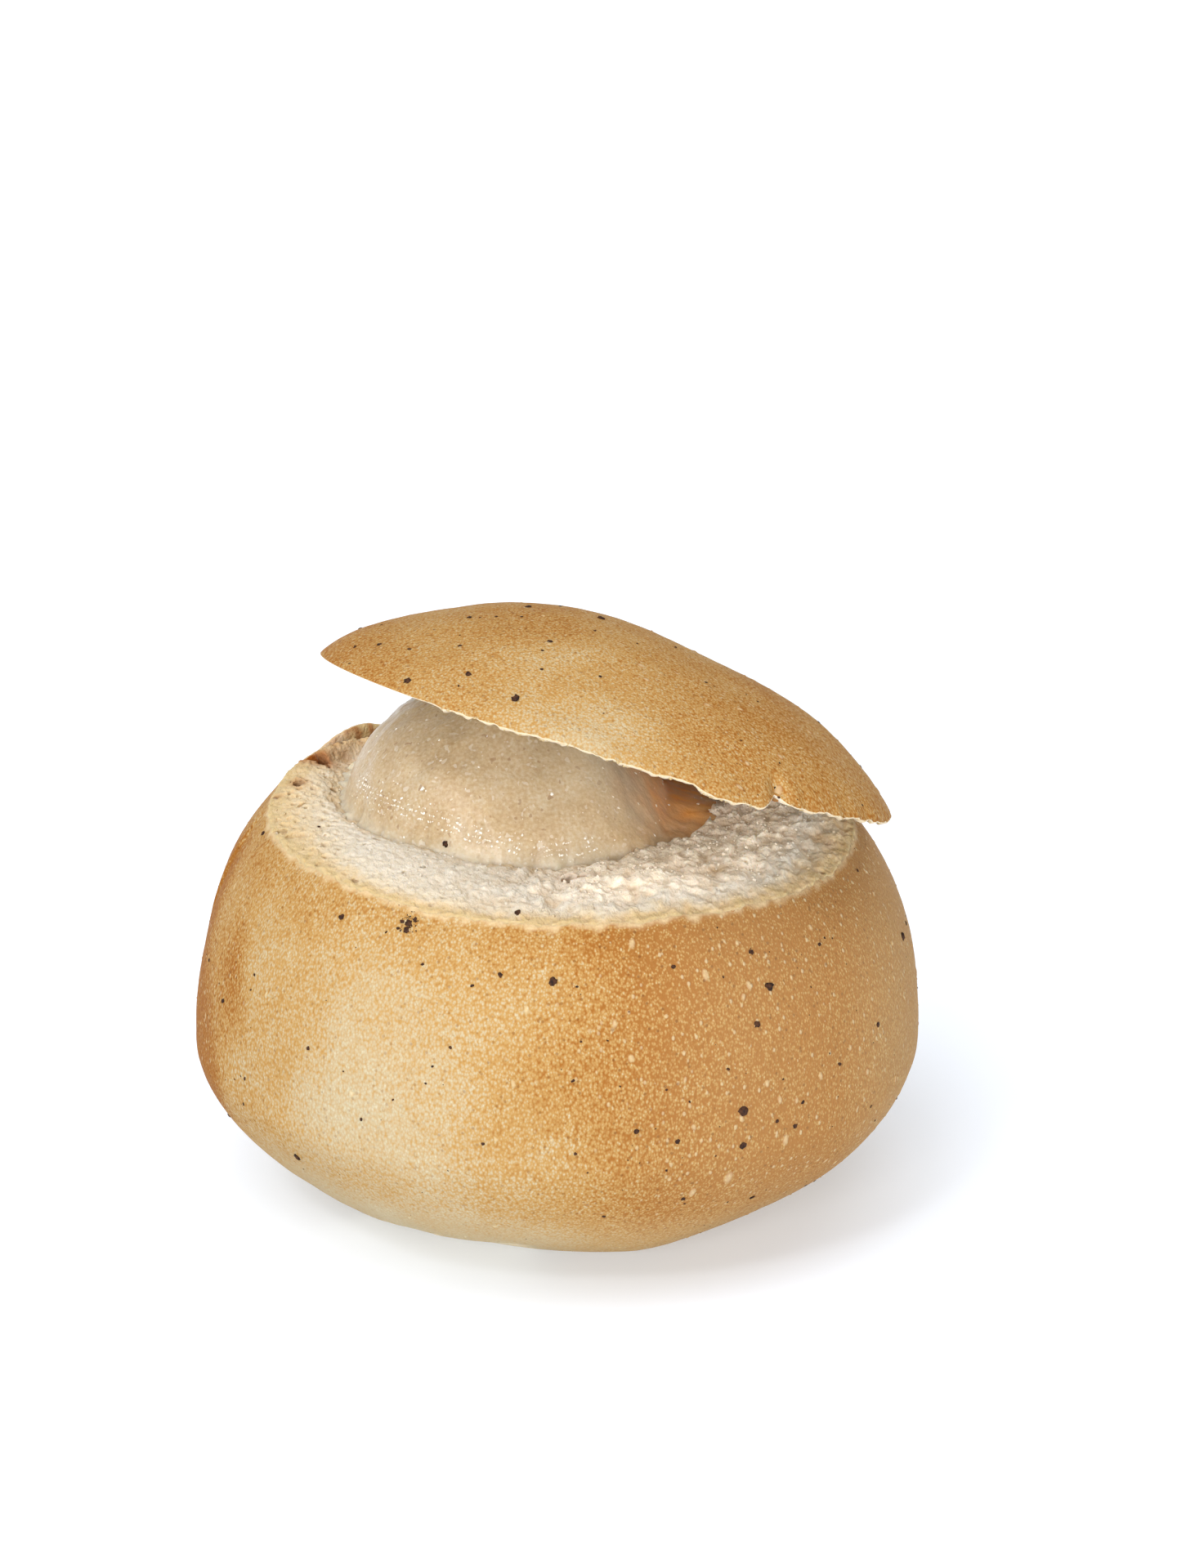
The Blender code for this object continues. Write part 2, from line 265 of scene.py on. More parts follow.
# The larger flecks of cardamom: where they lie in the photograph, and how long they are
FLECKS = {
    "lid left tip": ((434, 792), 0.0005),
    "lid left tip, second": ((464, 789), 0.0006),
    "lid left": ((498, 833), 0.0009),
    "lid upper left": ((574, 756), 0.0006),
    "lid upper left, second": ((607, 755), 0.0004),
    "lid crest": ((646, 743), 0.0008),
    "lid crest, right": ((735, 757), 0.0009),
    "lid crest, far right": ((728, 772), 0.0004),
    "lid middle": ((673, 785), 0.0006),
    "lid lower left": ((573, 825), 0.0008),
    "lid lower middle": ((631, 855), 0.0011),
    "lid lower middle, second": ((663, 819), 0.0004),
    "lid lower middle, third": ((734, 828), 0.0004),
    "lid notch, left pit": ((948, 964), 0.0003),
    "lid notch, right pit": ((953, 976), 0.0003),
    "crumb left": ((390, 1012), 0.0004),
    "crumb front": ((633, 1117), 0.0009),
    "paste edge": ((545, 1033), 0.0007),
    "rim left": ((322, 1020), 0.0006),
    "clump": ((500, 1130), 0.0009),
    "clump, left": ((492, 1128), 0.0006),
    "clump, below": ((497, 1138), 0.0007),
    "clump, right": ((508, 1125), 0.0006),
    "clump, end": ((487, 1136), 0.0004),
    "under the rim": ((418, 1122), 0.0007),
    "left edge, upper": ((256, 1175), 0.0004),
    "left edge": ((273, 1225), 0.0006),
    "left": ((377, 1283), 0.0005),
    "left, lower": ((298, 1351), 0.0004),
    "left foot": ((364, 1416), 0.0009),
    "left foot, second": ((442, 1370), 0.0004),
    "middle left, upper": ((517, 1180), 0.0004),
    "middle upper": ((612, 1193), 0.0006),
    "middle upper, right": ((677, 1201), 0.0009),
    "middle": ((551, 1282), 0.0004),
    "middle, second": ((529, 1305), 0.0003),
    "middle, third": ((521, 1326), 0.0003),
    "middle lower": ((591, 1400), 0.0004),
    "middle lower, right": ((704, 1412), 0.0004),
    "right, largest": ((941, 1207), 0.0012),
    "right, under the largest": ((926, 1253), 0.0008),
    "right upper": ((824, 1183), 0.0005),
    "right upper, second": ((919, 1165), 0.0006),
    "right lower, dark crack": ((909, 1360), 0.0011),
    "right lower": ((829, 1397), 0.0006),
    "right lower, left": ((779, 1385), 0.0006),
    "right lower, second": ((909, 1402), 0.0008),
    "right lower, third": ((951, 1372), 0.0005),
    "right lower, fourth": ((973, 1378), 0.0006),
    "right foot": ((836, 1467), 0.0006),
    "right foot, second": ((920, 1465), 0.0006),
    "far right": ((1027, 1302), 0.0005),
    "far right, second": ((1074, 1254), 0.0006),
    "far right, upper": ((1104, 1146), 0.0010),
}
FLECK_SHARES = {"bun_crust": 0.75, "lid_crust": 0.25}
FLECKS_RIGHT = (-0.01, 0.03, 0.6)  # from few to many in X, and how few
FLECK_SIZES = (0.00016, 0.00060)
BACK_FLECKS = {"bun_crust": 30, "lid_crust": 10}  # larger ones, as many as the front has
BACK_FLECK_SIZES = (0.0004, 0.0010)
BACK_FROM = 0.012  # where in Y the back begins
POWDER_COUNT = 60  # fine powder round the clump
POWDER_SIZES = (0.00008, 0.00022)
POWDER_RADIUS = 0.0006

# The larger blisters of the crust, in the same way
BLISTERS = {
    "upper middle": ((863, 1193), 0.0019),
    "by the largest fleck": ((916, 1206), 0.0016),
    "dark-edged": ((773, 1155), 0.0017),
    "middle": ((752, 1253), 0.0013),
    "middle, left": ((644, 1236), 0.0014),
    "crack": ((907, 1369), 0.0014),
    "foot, largest": ((891, 1441), 0.0026),
    "foot, left": ((847, 1459), 0.0020),
    "foot, right": ((961, 1395), 0.0020),
    "right, long": ((1004, 1317), 0.0014),
    "right, by the fleck": ((954, 1346), 0.0015),
    "far right": ((1095, 1321), 0.0013),
    "lid notch": ((951, 970), 0.0024),
    "lid right": ((905, 868), 0.0012),
}
BLISTER_SHARES = {"bun_crust": 0.78, "lid_crust": 0.22}
BLISTERS_RIGHT = (-0.015, 0.03, 0.25)  # as for the flecks
BLISTER_SIZES = (0.0003, 0.0013)
BLISTER_HEIGHT = 0.00011
DOME_SEGMENTS = 12
CLEAR_OF_TABLE = 0.003  # the fine flecks and blisters lie no lower than this
ASKEW = 0.2  # how far from straight up the long ones lie
GRAIN_SIZES = (0.00018, 0.00055)
GRAIN_SUNK = 0.3  # of its height, into the crumb
GRAIN_INSIDE = 0.0008  # at least so far inside the rim
EDGE_GRAINS = 260  # along the lid's torn edge
# Painted glints on the paste, drawn as white bits of almond
GLINT_BIT_SIZES = (0.00012, 0.00044)
WHITE_DAB = (521, 965)  # a smear of white on the paste, in the photograph
DAB_RADIUS = 0.0005
DAB_BITS = 14
GLINT_BAND = (0.0012, 0.0024, 0.0009)  # over the cut, how much higher at the left, width
GLINT_BAND_LEFT = (0.004, -0.020)  # from where to where in X it rises
GLINT_BAND_FRONT = ((0.008, 0.002), (0.002, -0.004))  # from where to where, in X and in Y
GLINTS_ELSEWHERE = 0.012

# How large the patterns of the surfaces are, and how deep their fine relief is
BROWN_PATCHES = 0.007
CRUST_MOTTLE = 0.0004
GRAIN_WIDTH = 0.00030  # the real grain is 0.15 mm, drawn as coarse as it needs to show
# The pale pimples are partly real blisters, partly painted glints
PIMPLE_GLINT_GAP = 0.0010
PRICK_GAP = 0.0010
CRUST_DEPTH = 0.00009
CRUMB_MOTTLE = 0.0009
CRUMB_FUZZ = 0.0005
CRUMB_DEPTH = 0.00040
PASTE_PATCHES = 0.005
PASTE_MOTTLE = 0.0009
PASTE_GRAIN = 0.0006
PASTE_DEPTH = 0.00008
NUT_GAP = 0.0009
NUT_GRIT = 0.0004  # the real grit is 0.2 mm, drawn as coarse as it needs to show
GLINT_BIT_CLOUDS = 0.0008
HULL_GRAIN = 0.0004
HULL_DEPTH = 0.0001

# How fine the meshes are
BUN_SEGMENTS = 600
BUN_STEP = 0.00046
LID_SEGMENTS = 560
LID_STEP = 0.0004
PASTE_SEGMENTS = 480
PASTE_STEP = 0.0003
CRUMB_VOXEL = 0.00024
CRUMB_MERGE = 0.02  # how readily level faces are joined, where none of this detail shows
CRUMB_BOX = (1.06, 0.0015, 0.0040)  # its grid: times the rim, under the shelf, over the rim
LUMP_REACH = 0.0018  # how far from the smooth top the lumps reach
PORE_TRIES = 2600
PORE_CHANCE = (0.03, 0.5)  # anywhere, and how much more at the left
PORES_LEFT = (-0.020, -0.030)  # from few to many, in X
PORE_INSIDE = (0.0006, 0.0004)  # at least so far inside the rim and outside the hollow
PORE_SIZES = ((0.00022, 0.00045), (0.0005, 0.0009))  # fine ones, and a few larger
LARGE_PORES = 0.05  # share

# The photograph's frame and the camera that took it
PHOTO_WIDTH = 1440
PHOTO_HEIGHT = 1919
CAMERA_DISTANCE = 0.8
CAMERA_ELEVATION = math.radians(24.5)
CAMERA_LENS = 146.93
SENSOR_HEIGHT = 36
ORIGIN_PIXEL = (681.9, 1429.3)  # where the middle of the bun's base lies in the photograph
FOCAL_PIXELS = CAMERA_LENS / SENSOR_HEIGHT * PHOTO_HEIGHT

LIGHTS = {  # heading it comes from, elevation, width seen from the bun, degrees, and power
    "soft light": (-150, 56, 50, 1.85),
    "top light": (0, 80, 50, 0.95),
    "front fill": (-108, 18, 22, 1.6),
    "side fill": (-48, 9, 22, 1.5),
    "glint light": (-120, 46, 8, 0.4),
}
ROOM_LIGHT = 0.36
TABLE_GLOW = 0.335
TABLE_HALF = 4
TABLE_WHITE = "CDD4DE"  # a cool white, against the warm light the bun throws on it
WHITE = "FFFFFF"


# ---------------------------------------------------------------- colour, noise, meshes


def linear(code):
    """The linear colour of an sRGB hex value such as "D8A862"."""
    parts = [int(code[i : i + 2], 16) / 255 for i in (0, 2, 4)]
    return tuple(p / 12.92 if p <= 0.04045 else ((p + 0.055) / 1.055) ** 2.4 for p in parts)


DIRECTIONS = 4096  # a power of 2
CELL_MIXERS = (73856093, 19349663, 83492791)  # large odd numbers


def gradients():
    """Random directions that noise and lumps are made from."""
    made = np.random.default_rng(7).normal(size=(DIRECTIONS, 3)).astype(np.float32)
    return made / np.linalg.norm(made, axis=1)[:, None]


GRADIENTS = gradients()


def direction_at(cells):
    """A random direction for each cell (x, y, z) of an endless grid, always the same."""
    x, y, z = (cells * CELL_MIXERS).T
    return GRADIENTS[(x ^ y ^ z) & (DIRECTIONS - 1)]


def noise(points, size, seed):
    """Smooth noise of about -1 to 1 at each point, with lumps of this size."""
    cell = points / size + seed * 31.7
    low = np.floor(cell).astype(np.int64)
    part = (cell - low).astype(np.float32)
    eased = part**3 * (part * (part * 6 - 15) + 10)
    total = np.zeros(len(points), np.float32)
    for corner in itertools.product((0, 1), repeat=3):
        weight = np.where(np.array(corner) == 1, eased, 1 - eased).prod(axis=1)
        slope = direction_at(low + corner) * (part - np.array(corner, np.float32))
        total += weight * slope.sum(axis=1)
    return total * 1.7


def lumps(points, size, seed):
    """Rounded lumps of this size packed side by side: about 1 on top of each, 0 between."""
    cell = (points / size).astype(np.float32)
    low = np.floor(cell).astype(np.int64)
    nearest = np.full(len(points), 9, np.float32)
    for corner in itertools.product((-1, 0, 1), repeat=3):
        at = low + corner
        jitter = direction_at(at + np.array([0, 0, seed * 101]))
        away = ((cell - (at + 0.5 + 0.42 * jitter)) ** 2).sum(axis=1) + 0.16 * (jitter[:, 0] + 1)
        nearest = np.minimum(nearest, away)
    return 1 - np.sqrt(nearest)


def layered(points, layers):
    """The sum of layers of noise, each of (height, size of its lumps, seed)."""
    return sum(height * noise(points, size, seed) for height, size, seed in layers)


def smooth_step(low, high, value):
    """0 up to the low value, smoothly up to 1 at the high one. They may change places."""
    share = np.clip((value - low) / (high - low), 0, 1)
    return share * share * (3 - 2 * share)


def fade(span, value):
    """1 within a span that is given as ((from 0, to 1), (from 1, to 0)), else 0."""
    (low, begun), (end, high) = span
    return smooth_step(low, begun, value) * smooth_step(high, end, value)


def bell(value, middle, width):
    """1 at the middle, falling smoothly to 0 on both sides."""
    return np.exp(-(((value - middle) / width) ** 2))


def bump(x, y, place, radius):
    """1 at the place, falling smoothly to 0 away from it."""
    return np.exp(-((x - place[0]) ** 2 + (y - place[1]) ** 2) / radius**2)


def mesh_object(name, points, faces, materials, face_materials=None, **attributes):
    """A smooth mesh in the bun's body, with a float attribute for each keyword."""
    mesh = bpy.data.meshes.new(name)
    mesh.from_pydata(points.tolist(), [], faces)
    for material in materials:
        mesh.materials.append(material)
    if face_materials is not None:
        mesh.polygons.foreach_set("material_index", np.asarray(face_materials, np.int32))
    for title, values in attributes.items():
        made = mesh.attributes.new(title, "FLOAT", "POINT")
        made.data.foreach_set("value", np.asarray(values, np.float32))
    mesh.shade_smooth()
    mesh.validate()
    mesh.update()
    made = bpy.data.objects.new(name, mesh)
    bpy.context.scene.collection.objects.link(made)
    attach(made, ROOT)
    return made


def ring_faces(rings, segments):
    """Quads between rings of points, then a fan to the two points that follow them: the
    one before the first ring and the one after the last."""
    i = np.arange(segments)
    j = (i + 1) % segments
    faces = []
    for ring in range(rings - 1):
        low, high = ring * segments, (ring + 1) * segments
        faces += np.stack([low + i, low + j, high + j, high + i], 1).tolist()
    first, last = rings * segments, rings * segments + 1
    top = (rings - 1) * segments
    faces += np.stack([np.full(segments, first), j, i], 1).tolist()
    faces += np.stack([np.full(segments, last), top + i, top + j], 1).tolist()
    return faces


def grid_normals(grid):
    """The outward normal at each point of a grid of rings (rings, segments, 3)."""
    along = np.gradient(grid, axis=0)
    around = np.roll(grid, -1, axis=1) - np.roll(grid, 1, axis=1)
    normal = np.cross(around, along)
    return normal / np.maximum(np.linalg.norm(normal, axis=2, keepdims=True), 1e-12)


def even_steps(x, y, step):
    """Shares along a line through points (x, y), spaced evenly by about this step."""
    length = np.concatenate([[0], np.cumsum(np.hypot(np.diff(x), np.diff(y)))])
    count = max(2, round(length[-1] / step))
    return np.interp(np.linspace(0, length[-1], count + 1), length, np.arange(len(x)))


def flat_points(x, y):
    return np.stack([x, y, np.zeros_like(x)], axis=-1).reshape(-1, 3)


def circle(segments):
    return np.linspace(0, 2 * math.pi, segments, endpoint=False)


def unit_ring(angle):
    """Points at these angles on a flat circle of radius 1."""
    return np.stack([np.cos(angle), np.sin(angle), 0 * angle], axis=-1)


# ---------------------------------------------------------------- the shapes of the bun


def outline(angle):
    """How far the bun's outline stands from a circle at this angle, as a factor."""
    return 1 - OVAL * np.cos(2 * angle) - THREE_SIDED * np.sin(3 * angle)


def cut_height(x, y, bun):
    """The height of the knife's cut through the bun."""
    wave = RIM_WAVE * np.sin(RIM_WAVES * np.arctan2(y, x) + 1)
    pressed = PRESSED_DEPTH * bump(x, y, PRESSED_PLACE, PRESSED_RADIUS)
    torn = TORN_DEPTH * bump(x, y, TORN_PLACE, TORN_RADIUS)
    return bun.rim_height - RIM_SLOPE * x + wave - pressed - torn


def side_profile(bun):
    """(radius, height up to the belly, share of the way from belly to rim), evenly spaced
    from the edge of the flat base to the rim."""
    turn = np.linspace(0, math.pi / 2, 200)
    lower_radius = BASE_RADIUS + (bun.belly_radius - BASE_RADIUS) * np.sin(turn) ** (2 / LOWER_CURVE)
    lower_height = bun.belly_height * (1 - np.cos(turn) ** (2 / LOWER_CURVE))
    share = np.linspace(0, 1, 200)[1:]
    drawn_in = 1 - (bun.rim_radius / bun.belly_radius) ** 2
    upper_radius = bun.belly_radius * np.sqrt(1 - drawn_in * share**UPPER_CURVE)
    radius = np.concatenate([lower_radius, upper_radius])
    low = np.concatenate([lower_height, np.full(len(share), bun.belly_height)])
    up = np.concatenate([np.zeros(len(turn)), share])
    height = low + up * (bun.rim_height - bun.belly_height)
    at = even_steps(radius, height, BUN_STEP)
    index = np.arange(len(radius))
    return [np.interp(at, index, values) for values in (radius, low, up)]


def side_points(radius, low, up, angle, bun):
    """Points of the bun's side. The arguments are arrays that fit each other."""
    x = radius * outline(angle) * np.cos(angle) + LEAN[0] * up
    y = radius * outline(angle) * np.sin(angle) + LEAN[1] * up
    z = low + (cut_height(x, y, bun) - bun.belly_height) * up
    return np.stack([x, y, z], axis=-1)


def hollow_profile():
    """(radius, depth) of the hollow's wall from its edge down to its floor."""
    turn = np.linspace(0, math.pi / 2, 14)[1:]
    width = HOLLOW_RADIUS - HOLLOW_FLOOR_RADIUS
    radius = HOLLOW_FLOOR_RADIUS + width * np.cos(turn) ** (2 / HOLLOW_CURVE)
    return radius, HOLLOW_DEPTH * np.sin(turn) ** (2 / HOLLOW_CURVE)


def hollow_ring(radius, depth, angle, bun):
    """A ring of the hollow's wall, which levels out towards the floor."""
    x = HOLLOW_PLACE[0] + radius * np.cos(angle)
    y = HOLLOW_PLACE[1] + radius * np.sin(angle)
    edge = cut_height(x, y, bun)
    share = depth / HOLLOW_DEPTH
    return np.stack([x, y, edge + (bun.rim_height - edge) * share - depth], axis=-1)


def lid_matrix(lid):
    """Where the lid lies: tilted about a level axis across its slope."""
    axis = Vector((-math.sin(lid.towards), math.cos(lid.towards), 0))
    return Matrix.Translation(LID_PLACE) @ Matrix.Rotation(lid.tilt, 4, axis)


def lid_plane(x, y, lid):
    """The height of the lid's cut face over this point of the table."""
    normal = lid_matrix(lid).to_3x3() @ Vector((0, 0, 1))
    across = normal.x * (x - LID_PLACE[0]) + normal.y * (y - LID_PLACE[1])
    return LID_PLACE[2] - across / normal.z


def mound_height(x, y, filling):
    """How high the paste stands over the cut, without the lid on it. Its foot runs out
    softly at the front. At the right the spoon cut it off squarely, beside a hollow."""
    across, deep = x - MOUND_PLACE[0], y - MOUND_PLACE[1]
    squared = np.where((across > 0) & (deep < 0), MOUND_CORNER, 2.0)
    across = np.abs(np.where(across > 0, across * MOUND_CUT_OFF, across)) / MOUND_RADIUS
    distance = (across**squared + np.abs(deep / MOUND_RADIUS) ** squared) ** (1 / squared)
    front = smooth_step(*FOOT_FRONT[0], x) * smooth_step(*FOOT_FRONT[1], y)
    right = smooth_step(*FOOT_RIGHT, x)
    foot = MOUND_CURVE[1] + FOOT_SOFTER[0] * front + FOOT_SOFTER[1] * right
    mound = filling.mound_height * (1 - np.minimum(distance, 1) ** MOUND_CURVE[0]) ** foot
    mound += PASTE_FOOT * smooth_step(*FOOT_SMEAR, distance)
    across, deep = (x - DIP_PLACE[0]) / DIP_SIZE[0], (y - DIP_PLACE[1]) / DIP_SIZE[1]
    return mound + SYRUP_FILL * np.exp(-(across**2) - deep**2)


def lid_dome(share, lid):
    """The height of an even dome, from the lid's middle at 0 to its edge at 1."""
    return lid.height * (1 - share ** DOME_CURVE[0]) ** DOME_CURVE[1]


def lid_top(x, share, lid):
    """The height of the lid's dome, with its saddle and its flatter left end."""
    saddle = LID_SADDLE * bell(x, SADDLE_PLACE, SADDLE_WIDTH)
    flatter = LID_FLAT * bell(x, FLAT_PLACE, FLAT_WIDTH)
    return lid_dome(share, lid) - (saddle + flatter) * (1 - share**2)


def outside_hollow(x, y):
    """How far outside the hollow's edge a point is."""
    return np.hypot(x - HOLLOW_PLACE[0], y - HOLLOW_PLACE[1]) - HOLLOW_RADIUS


def torn_share(x):
    """0 at the left, where the knife cut the crumb, to 1 at the right, where it was torn."""
    return smooth_step(*TORN_FROM, x)


def rim_distance(x, y, bun):
    """How far inside the cut's rim a point is."""
    along = np.arctan2(y - LEAN[1], x - LEAN[0])
    return bun.rim_radius * outline(along) - np.hypot(x - LEAN[0], y - LEAN[1])


def rim_fray(angle, bun):
    """How far the crust's torn edge stands over the knife's cut at each angle."""
    ring = unit_ring(angle).reshape(-1, 3) * bun.rim_radius
    return layered(ring, RIM_FRAY).reshape(angle.shape)


# ---------------------------------------------------------------- materials

MATH, MIX = "ShaderNodeMath", "ShaderNodeMix"


def add_node(tree, kind, inputs=None, out=0, stops=(), **settings):
    """Adds a node and gives its output. Inputs are values, or the outputs of other nodes to
    link, and stops are the (position, colour) of a colour ramp."""
    node = tree.nodes.new(kind)
    for title, value in settings.items():
        setattr(node, title, value)
    for socket, value in (inputs or {}).items():
        if isinstance(value, bpy.types.NodeSocket):
            tree.links.new(value, node.inputs[socket])
        else:
            node.inputs[socket].default_value = value
    for number, (position, colour) in enumerate(stops):
        elements = node.color_ramp.elements
        element = elements[number] if number < 2 else elements.new(position)
        element.position = position
        element.color = (*colour, 1)
    return node.outputs[out]


def new_material(name, **shader_values):
    """A material with only its shader, whose sockets get these values."""
    made = bpy.data.materials.new(name)
    made.use_nodes = True
    shader = made.node_tree.nodes["Principled BSDF"]
    for title, value in shader_values.items():
        shader.inputs[title.replace("_", " ")].default_value = value
    return made, made.node_tree, shader


def crust_material(colours):
    """Baked wheat crust, glazed with milk: a thin dry skin, golden where it browned, with a faint
    satin from the glaze. The eye sees fine grain, pin-head blisters that stayed pale and a few burnt
    pricks, and at the cut a dusty cream edge. The grain's lighter centres and the pale pimples are
    partly painted glints. A greyish painted sheen at the right and low down stands in for the room's
    reflection."""
    made, tree, shader = new_material(
        "baked bun crust", Roughness=0.5, Subsurface_Weight=0.08, Subsurface_Scale=0.5,
        Subsurface_Radius=(0.003, 0.0015, 0.0006), Specular_IOR_Level=0.01,
    )
    place = add_node(tree, "ShaderNodeTexCoord", out="Object")
    bake, cut, raised, dull = (
        add_node(tree, "ShaderNodeAttribute", out="Fac", attribute_name=title)
        for title in ("bake", "cut", "raised", "dull")
    )
    drawn = add_node(
        tree, "ShaderNodeMapping", {"Vector": place, "Scale": (1.0, 1.0, 0.7)}, vector_type="POINT"
    )
    patches = add_node(
        tree, "ShaderNodeTexNoise", {"Vector": place, "Scale": 1 / BROWN_PATCHES, "Detail": 4.0}
    )
    mottle = add_node(
        tree, "ShaderNodeTexNoise",
        {"Vector": drawn, "Scale": 1 / CRUST_MOTTLE, "Detail": 2.0, "Roughness": 0.6},
    )
    # the grain's lighter centres: fine crust texture, partly painted glints on its bumps
    grain = add_node(tree, "ShaderNodeTexVoronoi", {"Vector": drawn, "Scale": 1 / GRAIN_WIDTH})
    fine = add_node(tree, MATH, {0: grain, 1: 0.8, 2: mottle}, operation="MULTIPLY_ADD")
    fine = add_node(tree, MATH, {0: fine, 1: 0.86}, operation="SUBTRACT")
    rough = add_node(tree, MATH, {0: bake, 1: 1.7, 2: -0.24}, operation="MULTIPLY_ADD")
    browned = add_node(tree, MATH, {0: patches, 1: 0.26, 2: bake}, operation="MULTIPLY_ADD")
    browned = add_node(tree, MATH, {0: fine, 1: rough, 2: browned}, operation="MULTIPLY_ADD")
    browned = add_node(tree, MATH, {0: browned, 1: 0.11}, operation="SUBTRACT")
    colour = add_node(
        tree, "ShaderNodeValToRGB", {"Fac": browned},
        stops=[
            (0.0, colours.crust_raw), (0.28, colours.crust_pale),
            (0.58, colours.crust_golden), (1.0, colours.crust_brown),
        ],
    )
    spots = []
    for vector, gap, edge, fullest, rarer in (
        (drawn, PIMPLE_GLINT_GAP, 0.27, 1.0, 0.55), (place, PRICK_GAP, 0.24, 0.8, 0.45)
    ):
        cell = add_node(tree, "ShaderNodeTexVoronoi", {"Vector": vector, "Scale": 1 / gap})
        chosen = add_node(
            tree, MATH, {0: cell.node.outputs["Color"], 1: rarer}, operation="GREATER_THAN"
        )
        spot = add_node(
            tree, "ShaderNodeMapRange", {"Value": cell, 1: edge, 2: 0.13, 3: 0.0, 4: fullest},
            interpolation_type="SMOOTHSTEP",
        )
        spots.append(add_node(tree, MATH, {0: spot, 1: chosen}, operation="MULTIPLY"))
    pimples_and_glints, pricks = spots
    many = add_node(
        tree, MATH, {0: bake, 1: 1.1, 2: -0.35}, operation="MULTIPLY_ADD", use_clamp=True
    )
    dusty = add_node(tree, MATH, {0: mottle, 1: 0.6, 2: 0.55}, operation="MULTIPLY_ADD")
    for mask, strength, shade in (
        # pale pimples, partly real blisters and partly painted glints
        (pimples_and_glints, many, colours.crust_pimple_glint),
        (pricks, bake, colours.crust_burnt),
        # painted sheen: greyish at the right and low down
        (dull, 0.22, colours.crust_dull),
        (raised, 0.75, colours.blister),
        (dusty, cut, colours.crumb_golden),
    ):
        share = add_node(tree, MATH, {0: mask, 1: strength}, operation="MULTIPLY", use_clamp=True)
        colour = add_node(tree, MIX, {0: share, 6: colour, 7: (*shade, 1)}, 2, data_type="RGBA")
    tree.links.new(colour, shader.inputs["Base Color"])
    height = add_node(tree, MATH, {0: grain, 1: -0.6, 2: mottle}, operation="MULTIPLY_ADD")
    height = add_node(tree, MATH, {0: pimples_and_glints, 1: 0.8, 2: height}, operation="MULTIPLY_ADD")
    relief = add_node(
        tree, "ShaderNodeBump", {"Height": height, "Distance": CRUST_DEPTH, "Strength": 1.0}
    )
    tree.links.new(relief, shader.inputs["Normal"])
    return made


def crumb_material(colours, name="torn wheat crumb", translucent=0.5):
    """White wheat crumb, torn and cut: dry, soft and full of air, so light soaks in. The eye sees
    cream white and golden beside the crust; the tan down in the pores and creases is painted shade.
    Loose grains of it are too small for light to soak in."""
    made, tree, shader = new_material(
        name, Roughness=0.9, Subsurface_Weight=translucent, Subsurface_Scale=1.0,
        Subsurface_Radius=(0.0009, 0.0007, 0.0005), Specular_IOR_Level=0.1,
    )
    place = add_node(tree, "ShaderNodeTexCoord", out="Object")
    pulled = add_node(
        tree, "ShaderNodeMapping", {"Vector": place, "Scale": PULL}, vector_type="POINT"
    )
    golden, depth, moist, stain = (
        add_node(tree, "ShaderNodeAttribute", out="Fac", attribute_name=title)
        for title in ("golden", "depth", "moist", "stain")
    )
    mottle, fluff = (
        add_node(tree, "ShaderNodeTexNoise", {"Vector": pulled, "Scale": 1 / size, "Detail": 3.0})
        for size in (CRUMB_MOTTLE, CRUMB_FUZZ)
    )
    warm = add_node(tree, MATH, {0: mottle, 1: 0.4, 2: golden}, operation="MULTIPLY_ADD")
    warm = add_node(tree, MATH, {0: warm, 1: 0.20}, operation="SUBTRACT")
    colour = add_node(
        tree, "ShaderNodeValToRGB", {"Fac": warm},
        stops=[
            (0.0, colours.crumb_bright), (0.22, colours.crumb_white), (0.45, colours.crumb_cream),
            (0.78, colours.crumb_golden), (1.0, colours.crumb_edge),
        ],
    )
    for share, shade in (
        # depth is painted shade, tan in the pores and creases
        (depth, colours.crumb_pore_shade), (moist, colours.crumb_moist), (stain, colours.crumb_stain)
    ):
        colour = add_node(tree, MIX, {0: share, 6: colour, 7: (*shade, 1)}, 2, data_type="RGBA")
    tree.links.new(colour, shader.inputs["Base Color"])
    relief = add_node(
        tree, "ShaderNodeBump", {"Height": fluff, "Distance": CRUMB_DEPTH, "Strength": 1.0}
    )
    tree.links.new(relief, shader.inputs["Normal"])
    return made


